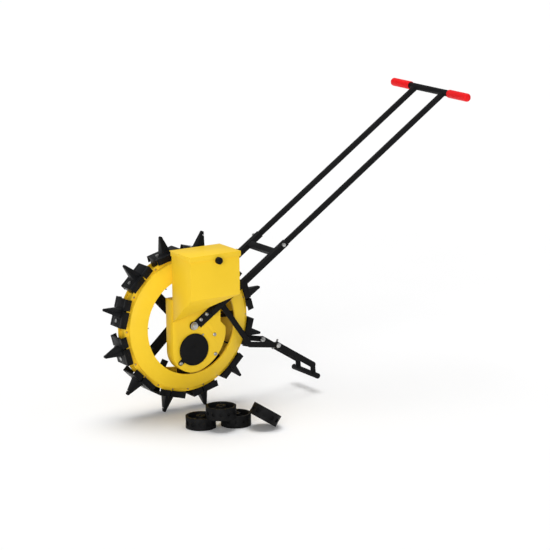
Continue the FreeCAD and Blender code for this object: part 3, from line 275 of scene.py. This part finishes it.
def repeated(master, name, places):
    """One piece of copies of the master, each set at its own matrix; the master goes."""
    copies = []
    for place in places:
        copy = bpy.data.objects.new(name, master.data.copy())
        copy.data.transform(place)
        bpy.context.scene.collection.objects.link(copy)
        copies.append(copy)
    bpy.data.objects.remove(master)
    deselect()
    for copy in copies:
        copy.select_set(True)
    bpy.context.view_layer.objects.active = copies[0]
    if len(copies) > 1:
        bpy.ops.object.join()
    piece = bpy.context.view_layer.objects.active
    piece.name = name
    return piece


def dressed(piece, body, finish):
    """Rides the piece on its body and gives it its finish."""
    piece.data.materials.clear()
    piece.data.materials.append(finish)
    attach(piece, body)
    return piece


def softened(node, fold, corner=35.0):
    """The node's form with its corners folded round: a merged copy that stands for the node."""
    piece = bpy.data.objects.new(f"{node}_finished", frame["nodes"][node].data.copy())
    bpy.context.scene.collection.objects.link(piece)
    pick(piece)
    bpy.ops.mesh.customdata_custom_splitnormals_clear()
    bpy.ops.object.mode_set(mode="EDIT")
    bpy.ops.mesh.select_all(action="SELECT")
    bpy.ops.mesh.remove_doubles(threshold=0.005 * MM)
    bpy.ops.mesh.dissolve_limited(angle_limit=math.radians(0.5))
    bpy.ops.object.mode_set(mode="OBJECT")
    apply_modifier(
        piece,
        "BEVEL",
        width=fold,
        segments=2,
        limit_method="ANGLE",
        angle_limit=math.radians(corner),
    )
    bpy.ops.object.mode_set(mode="EDIT")
    bpy.ops.mesh.select_all(action="SELECT")
    bpy.ops.mesh.dissolve_degenerate(threshold=0.002 * MM)
    bpy.ops.object.mode_set(mode="OBJECT")
    smooth(piece, corner)
    slot = SLOT_OF[node]
    dressed(piece, BODY_OF[node], FINISHES[slot]())
    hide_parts(node)
    return piece


def add_node(tree, kind, inputs, **settings):
    """Adds a node with its settings; each input gets a value or a link from an output."""
    node = tree.nodes.new(kind)
    for key, value in settings.items():
        setattr(node, key, value)
    for key, value in inputs.items():
        if isinstance(value, bpy.types.NodeSocket):
            tree.links.new(value, node.inputs[key])
        else:
            node.inputs[key].default_value = value
    return node


def blank(name):
    """A new material's tree, its shader and the Object coordinates."""
    material = bpy.data.materials.new(name)
    material.use_nodes = True
    tree = material.node_tree
    shader = tree.nodes["Principled BSDF"]
    place = add_node(tree, "ShaderNodeTexCoord", {}).outputs["Object"]
    return material, tree, shader, place


def noise(tree, place, size, detail=2.0):
    """Noise whose spots are about the size in mm."""
    inputs = {"Vector": place, "Scale": 1000.0 / size, "Detail": detail}
    return add_node(tree, "ShaderNodeTexNoise", inputs).outputs["Fac"]


def between(tree, factor, low, high):
    """A factor from 0.3 to 0.7 spread over two values."""
    inputs = {"Value": factor, 1: 0.3, 2: 0.7, 3: low, 4: high}
    return add_node(tree, "ShaderNodeMapRange", inputs).outputs["Result"]


def two_tone(tree, factor, first, second):
    """A colour between two sRGB hex values."""
    inputs = {"Fac": between(tree, factor, 0.0, 1.0)}
    mix = add_node(tree, "ShaderNodeMixRGB", inputs)
    mix.inputs["Color1"].default_value = linear(first) + [1]
    mix.inputs["Color2"].default_value = linear(second) + [1]
    return mix.outputs["Color"]


def bumped(tree, shader, height, distance, strength=1.0):
    """Bump of a height in mm on the shader."""
    inputs = {"Height": height, "Distance": distance * MM, "Strength": strength}
    bump = add_node(tree, "ShaderNodeBump", inputs)
    tree.links.new(bump.outputs["Normal"], shader.inputs["Normal"])


def once(make):
    """Keeps a finish after its first making."""
    made = {}

    def finish():
        if not made:
            made["finish"] = make()
        return made["finish"]

    return finish


@once
def yellow_powder_coat():
    """Polyester powder coat baked on sheet steel: warm yellow, half gloss, slight orange peel."""
    material, tree, shader, place = blank("Yellow polyester powder coat")
    colours = bpy.context.scene.seed_sower_colours
    broad = noise(tree, place, 90.0)
    colour = two_tone(tree, broad, colours.yellow, colours.yellow_shade)
    tree.links.new(colour, shader.inputs["Base Color"])
    # Peel waves of a baked coat are about 2 mm apart; 3 mm shows them from a step away.
    peel = noise(tree, place, 3.0)
    tree.links.new(between(tree, peel, 0.36, 0.44), shader.inputs["Roughness"])
    bumped(tree, shader, peel, 0.03, 0.35)
    shader.inputs["IOR"].default_value = 1.5
    shader.inputs["Specular IOR Level"].default_value = 0.15
    return material


@once
def black_powder_coat():
    """Fine-texture powder coat on tube and plate: near black, dull, with a sandy grain."""
    material, tree, shader, place = blank("Black fine texture powder coat")
    colours = bpy.context.scene.seed_sower_colours
    broad = noise(tree, place, 60.0)
    colour = two_tone(tree, broad, colours.black, colours.black_shade)
    tree.links.new(colour, shader.inputs["Base Color"])
    # The grain of a texture coat is 0.3 mm; 1.2 mm is the finest that a close view shows.
    grain = noise(tree, place, 1.2, 3.0)
    tree.links.new(between(tree, grain, 0.46, 0.6), shader.inputs["Roughness"])
    bumped(tree, shader, grain, 0.08, 0.5)
    shader.inputs["IOR"].default_value = 1.5
    shader.inputs["Specular IOR Level"].default_value = 0.07
    return material


@once
def beak_coat():
    """Smoother black coat on the pressed beaks, rubbed a little shiny where soil passes."""
    material, tree, shader, place = blank("Black satin powder coat")
    colours = bpy.context.scene.seed_sower_colours
    broad = noise(tree, place, 25.0)
    colour = two_tone(tree, broad, colours.black, colours.beak_shade)
    tree.links.new(colour, shader.inputs["Base Color"])
    rub = noise(tree, place, 14.0, 4.0)
    tree.links.new(between(tree, rub, 0.3, 0.46), shader.inputs["Roughness"])
    # Peel waves 2 mm apart, low enough to leave the plates flat.
    bumped(tree, shader, noise(tree, place, 2.0), 0.04, 0.3)
    shader.inputs["IOR"].default_value = 1.5
    shader.inputs["Specular IOR Level"].default_value = 0.09
    return material


@once
def moulded_nylon():
    """Black glass-filled nylon, moulded in an eroded tool: soft grey bloom and fine grain."""
    material, tree, shader, place = blank("Black moulded nylon")
    colours = bpy.context.scene.seed_sower_colours
    bloom = noise(tree, place, 12.0, 3.0)
    colour = two_tone(tree, bloom, colours.plastic, colours.plastic_shade)
    tree.links.new(colour, shader.inputs["Base Color"])
    # Spark grain is about 0.2 mm; 0.8 mm shows it in a close view.
    grain = noise(tree, place, 0.8, 2.0)
    tree.links.new(between(tree, grain, 0.5, 0.62), shader.inputs["Roughness"])
    bumped(tree, shader, grain, 0.03, 0.5)
    shader.inputs["IOR"].default_value = 1.53
    shader.inputs["Specular IOR Level"].default_value = 0.1
    return material


def plated(name, first, second):
    """Plated steel: metal clouded between two colours, with the fine scratches of the barrel."""
    material, tree, shader, place = blank(name)
    cloud = noise(tree, place, 4.0, 3.0)
    tree.links.new(two_tone(tree, cloud, first, second), shader.inputs["Base Color"])
    # Barrel scratches are some 0.05 mm apart; 0.5 mm shows their scatter.
    scratch = noise(tree, place, 0.5, 4.0)
    tree.links.new(between(tree, scratch, 0.26, 0.42), shader.inputs["Roughness"])
    bumped(tree, shader, scratch, 0.01, 0.4)
    shader.inputs["Metallic"].default_value = 1.0
    return material


@once
def zinc_plate():
    """Bright zinc plate on the bolts: pale metal with the cloudy marks of the barrel."""
    colours = bpy.context.scene.seed_sower_colours
    return plated("Bright zinc plated steel", colours.zinc, colours.zinc_shade)


@once
def yellow_zinc():
    """Yellow-passivated zinc on the cover screws: pale straw metal."""
    colours = bpy.context.scene.seed_sower_colours
    return plated("Yellow passivated zinc", colours.straw, colours.straw_shade)


@once
def blackened_steel():
    """Black oxide on spring wire and hinge pins: dark metal, oily and even."""
    colours = bpy.context.scene.seed_sower_colours
    return plated("Black oxide steel", colours.oxide, colours.oxide_shade)


@once
def sintered_bronze():
    """Oil-filled sintered bronze of plain bushes: warm brown metal with open pores."""
    material, tree, shader, place = blank("Sintered bronze")
    colours = bpy.context.scene.seed_sower_colours
    stain = noise(tree, place, 6.0, 3.0)
    colour = two_tone(tree, stain, colours.bronze, colours.bronze_shade)
    tree.links.new(colour, shader.inputs["Base Color"])
    # Pores are 0.05 mm; 0.4 mm shows them.
    pores = noise(tree, place, 0.4, 2.0)
    tree.links.new(between(tree, pores, 0.38, 0.55), shader.inputs["Roughness"])
    bumped(tree, shader, pores, 0.02, 0.6)
    shader.inputs["Metallic"].default_value = 1.0
    return material


@once
def red_vinyl():
    """Dipped red vinyl of hand grips: soft, even, with a broad dull sheen."""
    material, tree, shader, place = blank("Red dipped vinyl")
    colours = bpy.context.scene.seed_sower_colours
    broad = noise(tree, place, 30.0)
    colour = two_tone(tree, broad, colours.red, colours.red_shade)
    tree.links.new(colour, shader.inputs["Base Color"])
    # Dipping leaves pimples of about 0.5 mm; 1.5 mm shows them.
    pimples = noise(tree, place, 1.5, 2.0)
    tree.links.new(between(tree, pimples, 0.42, 0.54), shader.inputs["Roughness"])
    bumped(tree, shader, pimples, 0.04, 0.4)
    shader.inputs["IOR"].default_value = 1.53
    shader.inputs["Specular IOR Level"].default_value = 0.15
    return material


FINISHES = {
    "yellow": yellow_powder_coat,
    "black": black_powder_coat,
    "black_handle": black_powder_coat,
    "beak_black": beak_coat,
    "black_plastic": moulded_nylon,
    "zinc": zinc_plate,
    "bronze": sintered_bronze,
    "red_rubber": red_vinyl,
}


class SeedSowerSizes(bpy.types.PropertyGroup):
    """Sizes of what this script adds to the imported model."""

    fold: bpy.props.FloatProperty(
        name="Sheet fold",
        description="Round at the corners of folded sheet",
        default=0.0009,
        unit="LENGTH",
    )
    bar_edge: bpy.props.FloatProperty(
        name="Bar edge",
        description="Round at the edges of bars and tubes",
        default=0.0008,
        unit="LENGTH",
    )
    mould_edge: bpy.props.FloatProperty(
        name="Moulded edge",
        description="Round at the edges of moulded pieces",
        default=0.0005,
        unit="LENGTH",
    )
    cover_screws: bpy.props.IntProperty(
        name="Cover screws",
        description="Screws in the flange of one drum cover",
        default=24,
        min=12,
    )
    wire: bpy.props.FloatProperty(
        name="Spring wire",
        description="Diameter of the beak springs' wire",
        default=0.0016,
        unit="LENGTH",
    )
    spring_turns: bpy.props.IntProperty(
        name="Spring turns",
        description="Turns in a beak spring",
        default=6,
        min=2,
    )


class SeedSowerColours(bpy.types.PropertyGroup):
    """Colours of the finishes, each an sRGB hex value."""

    yellow: bpy.props.StringProperty(
        name="Yellow",
        description="Powder coat of the drum",
        default="#FCD232",
    )
    yellow_shade: bpy.props.StringProperty(
        name="Yellow, thin",
        description="The coat where it lies thinner",
        default="#F9CE2E",
    )
    black: bpy.props.StringProperty(
        name="Black",
        description="Coat of the frame and beaks",
        default="#151516",
    )
    black_shade: bpy.props.StringProperty(
        name="Black, thin",
        description="Coat of the frame where it lies thinner",
        default="#1A1A1B",
    )
    beak_shade: bpy.props.StringProperty(
        name="Beak black, rubbed",
        description="Coat of the beaks where it is rubbed",
        default="#17181A",
    )
    plastic: bpy.props.StringProperty(
        name="Plastic",
        description="Moulded black nylon",
        default="#0E0E0F",
    )
    plastic_shade: bpy.props.StringProperty(
        name="Plastic, bloomed",
        description="Nylon where its surface is greyer",
        default="#141415",
    )
    zinc: bpy.props.StringProperty(
        name="Zinc",
        description="Plate of the fasteners",
        default="#C6C6C5",
    )
    zinc_shade: bpy.props.StringProperty(
        name="Zinc, clouded",
        description="Plate where it is cloudy",
        default="#AFAFAE",
    )
    straw: bpy.props.StringProperty(
        name="Straw",
        description="Cover screws",
        default="#D0B98C",
    )
    straw_shade: bpy.props.StringProperty(
        name="Straw, clouded",
        description="Cover screws where they are cloudy",
        default="#BFA878",
    )
    oxide: bpy.props.StringProperty(
        name="Oxide",
        description="Springs and hinge pins",
        default="#3A3A3B",
    )
    oxide_shade: bpy.props.StringProperty(
        name="Oxide, thin",
        description="Springs and pins where they are rubbed",
        default="#4A4A4A",
    )
    bronze: bpy.props.StringProperty(
        name="Bronze",
        description="Sintered bushes",
        default="#A97C4B",
    )
    bronze_shade: bpy.props.StringProperty(
        name="Bronze, stained",
        description="Bushes where oil has darkened them",
        default="#8A6239",
    )
    red: bpy.props.StringProperty(
        name="Red",
        description="Vinyl of the grips",
        default="#F0181D",
    )
    red_shade: bpy.props.StringProperty(
        name="Red, thick",
        description="Vinyl where it lies thicker",
        default="#E81318",
    )
    floor: bpy.props.StringProperty(
        name="Floor",
        description="Floor and backdrop",
        default="#F2F2F2",
    )
    floor_shade: bpy.props.StringProperty(
        name="Floor, worn",
        description="Floor and backdrop where they are duller",
        default="#F1F1F1",
    )


def camera_matrix():
    """The photograph's camera: right, up and back directions with its place."""
    yaw, pitch, roll = (math.radians(a) for a in (CAMERA_YAW, CAMERA_PITCH, CAMERA_ROLL))
    back = Vector(
        (-math.sin(yaw) * math.cos(pitch), -math.cos(yaw) * math.cos(pitch), math.sin(pitch))
    )
    level = Vector((math.cos(yaw), -math.sin(yaw), 0))
    rise = back.cross(level)
    right = math.cos(roll) * level + math.sin(roll) * rise
    up = math.cos(roll) * rise - math.sin(roll) * level
    turn = Matrix((right, up, back)).transposed().to_4x4()
    return Matrix.Translation(at(*CAMERA_PLACE)) @ turn


def white_floor():
    """Matt white studio floor, a little lighter to the camera, so it runs into the background."""
    material, tree, shader, place = blank("White studio floor")
    tree.nodes.remove(shader)
    speck = noise(tree, place, 400.0)
    colours = bpy.context.scene.seed_sower_colours
    colour = two_tone(tree, speck, colours.floor, colours.floor_shade)
    matt = add_node(tree, "ShaderNodeBsdfDiffuse", {"Color": colour})
    light_path = add_node(tree, "ShaderNodeLightPath", {})
    glow = add_node(tree, "ShaderNodeEmission", {"Color": (1, 1, 1, 1), "Strength": FLOOR_GLOW})
    none = add_node(tree, "ShaderNodeEmission", {"Color": (0, 0, 0, 1), "Strength": 0.0})
    inputs = {0: light_path.outputs["Is Camera Ray"], 1: none.outputs[0], 2: glow.outputs[0]}
    seen = add_node(tree, "ShaderNodeMixShader", inputs)
    total = add_node(tree, "ShaderNodeAddShader", {0: matt.outputs[0], 1: seen.outputs[0]})
    tree.links.new(total.outputs[0], tree.nodes["Material Output"].inputs["Surface"])
    return material


def white_world():
    """Even sky light; the camera sees plain white."""
    world = bpy.data.worlds.new("White studio")
    world.use_nodes = True
    tree = world.node_tree
    sky = tree.nodes["Background"]
    sky.inputs["Color"].default_value = (1, 1, 1, 1)
    sky.inputs["Strength"].default_value = SKY_STRENGTH
    white = add_node(tree, "ShaderNodeBackground", {"Color": (1, 1, 1, 1), "Strength": 1.0})
    light_path = add_node(tree, "ShaderNodeLightPath", {})
    inputs = {0: light_path.outputs["Is Camera Ray"], 1: sky.outputs[0], 2: white.outputs[0]}
    seen = add_node(tree, "ShaderNodeMixShader", inputs)
    tree.links.new(seen.outputs[0], tree.nodes["World Output"].inputs["Surface"])
    return world


class SEEDSOWER_OT_stage(bpy.types.Operator):
    """Sets the floor, the sky light, the lamps and the photograph's camera"""

    bl_idname = "seed_sower.stage"
    bl_label = "Stage"

    def execute(self, context):
        scene = context.scene
        scene.view_settings.view_transform = "Standard"
        scene.world = white_world()
        deselect()
        bpy.ops.mesh.primitive_plane_add(size=FLOOR_SIZE, location=(0, 0, 0))
        floor = context.object
        floor.name = "floor"
        floor.data.materials.append(white_floor())
        for name, energy, softness, tilt, turn in LAMPS:
            bpy.ops.object.light_add(type="SUN", location=(0, 0, 3))
            lamp = context.object
            lamp.name = name
            lamp.data.energy = energy
            lamp.data.angle = math.radians(softness)
            lamp.rotation_euler = (math.radians(tilt), 0, math.radians(turn))
        bpy.ops.object.camera_add(location=(0, 0, 0))
        camera = context.object
        camera.matrix_world = camera_matrix()
        camera.data.sensor_width = SENSOR
        camera.data.lens = FOCAL_PIXELS / IMAGE_WIDTH * SENSOR
        camera.data.clip_end = CLIP_END
        scene.camera = camera
        return {"FINISHED"}


class SEEDSOWER_OT_node_finishes(bpy.types.Operator):
    """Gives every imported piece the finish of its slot"""

    bl_idname = "seed_sower.node_finishes"
    bl_label = "Finishes of the packed pieces"

    def execute(self, context):
        for name, node in frame["nodes"].items():
            node.data.materials.clear()
            node.data.materials.append(FINISHES[SLOT_OF[name]]())
        return {"FINISHED"}


class SEEDSOWER_OT_sheet_metal(bpy.types.Operator):
    """Rounds the folds of the drum covers, hopper, lid, housing and roller cover"""

    bl_idname = "seed_sower.sheet_metal"
    bl_label = "Sheet metal"

    def execute(self, context):
        fold = context.scene.seed_sower_sizes.fold
        for node in ("drum_cover_near", "drum_cover_far", "rim_band", "hopper", "hopper_lid"):
            softened(node, fold)
        for node in ("seed_housing", "roller_cover", "chamber_plates"):
            softened(node, fold)
        return {"FINISHED"}


class SEEDSOWER_OT_beaks(bpy.types.Operator):
    """Rounds the pressed edges of the twelve beaks and their flaps"""

    bl_idname = "seed_sower.beaks"
    bl_label = "Beaks"

    def execute(self, context):
        edge = context.scene.seed_sower_sizes.bar_edge
        for node in sorted(frame["nodes"]):
            if node.startswith(("fixed_beak_", "beak_flap_")):
                softened(node, edge)
        return {"FINISHED"}


class SEEDSOWER_OT_bars(bpy.types.Operator):
    """Rounds the edges of the fork, handle, brackets, stand, spokes and hub"""

    bl_idname = "seed_sower.bars"
    bl_label = "Bars and tubes"

    def execute(self, context):
        edge = context.scene.seed_sower_sizes.bar_edge
        for node in ("fork_frame", "handle_frame", "rear_brackets", "drag_stand"):
            softened(node, edge)
        for node in ("spoke_cross", "wheel_hub"):
            softened(node, edge)
        for node in ("grip_near", "grip_far"):
            softened(node, edge, GRIP_CORNER)
        return {"FINISHED"}


class SEEDSOWER_OT_mouldings(bpy.types.Operator):
    """Rounds the edges of the rollers, gears and knob"""

    bl_idname = "seed_sower.mouldings"
    bl_label = "Mouldings"

    def execute(self, context):
        edge = context.scene.seed_sower_sizes.mould_edge
        spares = [node for node in sorted(frame["nodes"]) if node.startswith("spare_roller_")]
        for node in ["seed_roller", "drive_pinion", "hub_gear", "lid_knob"] + spares:
            softened(node, edge)
        return {"FINISHED"}


class SEEDSOWER_OT_hex_bolts(bpy.types.Operator):
    """Chamfers the hexagon bolts, the wing nut and the pins"""

    bl_idname = "seed_sower.hex_bolts"
    bl_label = "Hexagon bolts"

    def execute(self, context):
        edge = context.scene.seed_sower_sizes.bar_edge
        for node in ("axle_bolts", "pivot_bolts", "clamp_screws", "wing_nut", "lid_pin"):
            softened(node, edge)
        pins = softened("beak_hinge_pins", edge)
        pins.data.materials[0] = blackened_steel()
        return {"FINISHED"}


class SEEDSOWER_OT_cover_screws(bpy.types.Operator):
    """Models one cross-head screw and sets it round both drum covers"""

    bl_idname = "seed_sower.cover_screws"
    bl_label = "Cover screws"

    def execute(self, context):
        count = context.scene.seed_sower_sizes.cover_screws
        places = []
        for side, direction in ((-1, TO_NEAR), (1, TO_FAR)):
            seat = Vector((0, side * COVER_FLANGE, COVER_SCREW_RING)) * MM
            for i in range(count):
                turn = round_axle(2 * math.pi * i / count)
                spin = Matrix.Rotation(RECESS_TURN * i, 4, "Z")
                places.append(turn @ facing(seat, direction) @ spin)
        screws = repeated(cross_screw(*COVER_SCREW_HEAD), "cover_screw_heads", places)
        dressed(screws, "wheel", yellow_zinc())
        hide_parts("cover_screws")
        return {"FINISHED"}


def beak_angle(hinge):
    """The angle round the axle of the beak whose hinge joint this is."""
    place = Vector(hinge["pos_m"]) - AXLE
    return math.atan2(place.x, place.z) - math.atan2(*HINGE_IN_BEAK)


def beak_angles():
    """The angles of all the beaks."""
    flaps = [name for name in sorted(JOINTS) if name.startswith("flap_")]
    return [beak_angle(JOINTS[name]) for name in flaps]


class SEEDSOWER_OT_saddle_bolts(bpy.types.Operator):
    """Models one button-head bolt and sets it on every beak's saddle"""

    bl_idname = "seed_sower.saddle_bolts"
    bl_label = "Saddle bolts"

    def execute(self, context):
        seat = Matrix.Translation(Vector((SADDLE_BOLT_ALONG, 0, SADDLE_TOP)) * MM)
        places = [round_axle(angle) @ seat for angle in beak_angles()]
        bolts = repeated(button_screw(*SADDLE_BOLT_HEAD), "saddle_bolt_heads", places)
        dressed(bolts, "wheel", zinc_plate())
        return {"FINISHED"}


def block(low, high):
    """A box between two corners in mm."""
    deselect()
    size = [h - l for l, h in zip(low, high)]
    middle = [(h + l) / 2 * MM for l, h in zip(low, high)]
    bpy.ops.mesh.primitive_cube_add(size=1, location=middle)
    piece = bpy.context.object
    piece.scale = [value * MM for value in size]
    bpy.ops.object.transform_apply(location=True, rotation=True, scale=True)
    return piece


def wing(start, end):
    """The saddle's outer strip with its skirt folded down, on both sides of the drum."""
    strips = []
    for side in (-1, 1):
        inner, fold, outer = (side * y for y in (SADDLE_SIDE, WING_SIDE - WING_SHEET, WING_SIDE))
        strip = block(
            (start, min(inner, outer), SADDLE_TOP - SADDLE_PLATE),
            (end, max(inner, outer), SADDLE_TOP),
        )
        skirt = block(
            (start, min(fold, outer), WING_LOW),
            (end, max(fold, outer), SADDLE_TOP - WING_LAP),
        )
        apply_modifier(strip, "BOOLEAN", operation="UNION", object=skirt, solver="EXACT")
        bpy.data.objects.remove(skirt)
        edge = bpy.context.scene.seed_sower_sizes.bar_edge
        apply_modifier(strip, "BEVEL", width=edge, segments=2, limit_method="ANGLE")
        smooth(strip)
        strips.append(strip)
    pick(strips[0])
    strips[1].select_set(True)
    bpy.ops.object.join()
    return strips[0]


class SEEDSOWER_OT_saddle_wings(bpy.types.Operator):
    """Widens every beak's saddle and lever by a strip with a folded skirt on each side"""

    bl_idname = "seed_sower.saddle_wings"
    bl_label = "Saddle wings"

    def execute(self, context):
        places = [round_axle(angle) for angle in beak_angles()]
        fixed = repeated(wing(-SADDLE_END, LEVER_START - WING_GAP), "saddle_wings", places)
        dressed(fixed, "wheel", beak_coat())
        for number, place in enumerate(places, start=1):
            moving = repeated(wing(LEVER_START, SADDLE_END), f"lever_wings_{number:02d}", [place])
            dressed(moving, f"flap_{number:02d}", beak_coat())
        return {"FINISHED"}


class SEEDSOWER_OT_housing_screws(bpy.types.Operator):
    """Models the button-head screws of the housing, the arm and the hopper's side"""

    bl_idname = "seed_sower.housing_screws"
    bl_label = "Housing screws"

    def execute(self, context):
        slope = Vector(JOINTS["handle_slide"]["axis"])
        large = [facing(at(x, HOUSING_FACE, z), TO_NEAR) for x, z in PLATE_SCREWS]
        large += [facing(at(s * slope.x, ARM_FACE, s * slope.z), TO_NEAR) for s in ARM_SCREWS]
        large.append(facing(at(LUG_SCREW[0], COVER_FACE, LUG_SCREW[1]), TO_NEAR))
        small = [facing(at(KEEPER[0], HOUSING_FACE, KEEPER[1]), TO_NEAR)]
        small.append(facing(at(*HOPPER_SCREW), TO_HANDLE))
        heads = repeated(button_screw(*HOUSING_SCREW_HEAD), "housing_screw_heads", large)
        dressed(heads, "frame", zinc_plate())
        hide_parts("housing_screws")
        small_heads = repeated(cross_screw(*SMALL_SCREW_HEAD), "small_screw_heads", small)
        dressed(small_heads, "frame", zinc_plate())
        return {"FINISHED"}


def wire_leg(radius, length, start, direction):
    """A straight spring leg with a rounded end, from a place in mm."""
    leg = turned([(radius, 0), (radius, length - 0.3), (0.6 * radius, length)], WIRE_SIDES)
    leg.data.transform(facing(Vector(start) * MM, Vector(direction).normalized()))
    return leg


class SEEDSOWER_OT_springs(bpy.types.Operator):
    """Winds one beak spring and sets it on every hinge pin"""

    bl_idname = "seed_sower.springs"
    bl_label = "Beak springs"

    def execute(self, context):
        sizes = context.scene.seed_sower_sizes
        wire = sizes.wire / MM
        pitch = SPRING_PITCH * wire
        coil = SPRING_BORE + wire / 2
        turns = sizes.spring_turns + 0.5
        half = turns * pitch / 2
        along, out = HINGE_IN_BEAK
        deselect()
        bpy.ops.mesh.primitive_circle_add(
            vertices=WIRE_SIDES,
            radius=wire / 2 * MM,
            rotation=(0, math.pi / 2, 0),
            location=(0, 0, 0),
        )
        spring = context.object
        bpy.ops.object.transform_apply(location=False, rotation=True, scale=True)
        spring.data.transform(Matrix.Translation(Vector((0, -half, coil)) * MM))
        apply_modifier(
            spring,
            "SCREW",
            axis="Y",
            angle=2 * math.pi * turns,
            screw_offset=2 * half * MM,
            steps=round(STEPS_PER_TURN * turns),
            render_steps=round(STEPS_PER_TURN * turns),
        )
        pick(spring)
        bpy.ops.object.mode_set(mode="EDIT")
        bpy.ops.mesh.select_all(action="SELECT")
        bpy.ops.mesh.fill_holes(sides=0)
        bpy.ops.mesh.select_all(action="SELECT")
        bpy.ops.mesh.normals_make_consistent(inside=False)
        bpy.ops.object.mode_set(mode="OBJECT")
        legs = [
            wire_leg(wire / 2, LEVER_LEG, (0, -half, coil), (1, 0, 0.1)),
            wire_leg(wire / 2, RIM_LEG, (0, half, -coil), (1, 0, -0.9)),
        ]
        pick(spring)
        for leg in legs:
            leg.select_set(True)
        bpy.ops.object.join()
        spring.data.transform(Matrix.Translation(Vector((along, 0, out)) * MM))
        smooth(spring)
        springs = repeated(spring, "beak_spring_coils", [round_axle(a) for a in beak_angles()])
        dressed(springs, "wheel", blackened_steel())
        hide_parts("beak_springs")
        return {"FINISHED"}


class SEEDSOWER_PT_panel(bpy.types.Panel):
    """Lists the steps and the sizes in the sidebar"""

    bl_idname = "SEEDSOWER_PT_panel"
    bl_label = "Seed Sower"
    bl_space_type = "VIEW_3D"
    bl_region_type = "UI"
    bl_category = "Seed Sower"

    def draw(self, context):
        for step in STEPS:
            self.layout.operator(step.bl_idname)
        for group in (context.scene.seed_sower_sizes, context.scene.seed_sower_colours):
            for name in group.__annotations__:
                self.layout.prop(group, name)


STEPS = (
    SEEDSOWER_OT_stage,
    SEEDSOWER_OT_node_finishes,
    SEEDSOWER_OT_sheet_metal,
    SEEDSOWER_OT_beaks,
    SEEDSOWER_OT_bars,
    SEEDSOWER_OT_mouldings,
    SEEDSOWER_OT_hex_bolts,
    SEEDSOWER_OT_cover_screws,
    SEEDSOWER_OT_saddle_bolts,
    SEEDSOWER_OT_saddle_wings,
    SEEDSOWER_OT_housing_screws,
    SEEDSOWER_OT_springs,
)
CLASSES = (SeedSowerSizes, SeedSowerColours) + STEPS + (SEEDSOWER_PT_panel,)


def register():
    """Registers the classes and hangs their sizes and colours on the scene."""
    for cls in CLASSES:
        bpy.utils.register_class(cls)
    bpy.types.Scene.seed_sower_sizes = bpy.props.PointerProperty(type=SeedSowerSizes)
    bpy.types.Scene.seed_sower_colours = bpy.props.PointerProperty(type=SeedSowerColours)


def unregister():
    """Takes it all back in the other order."""
    del bpy.types.Scene.seed_sower_colours
    del bpy.types.Scene.seed_sower_sizes
    for cls in reversed(CLASSES):
        bpy.utils.unregister_class(cls)


def main():
    """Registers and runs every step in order."""
    register()
    for step in STEPS:
        group, name = step.bl_idname.split(".")
        getattr(getattr(bpy.ops, group), name)()
    deselect()


if __name__ == "__main__":
    main()
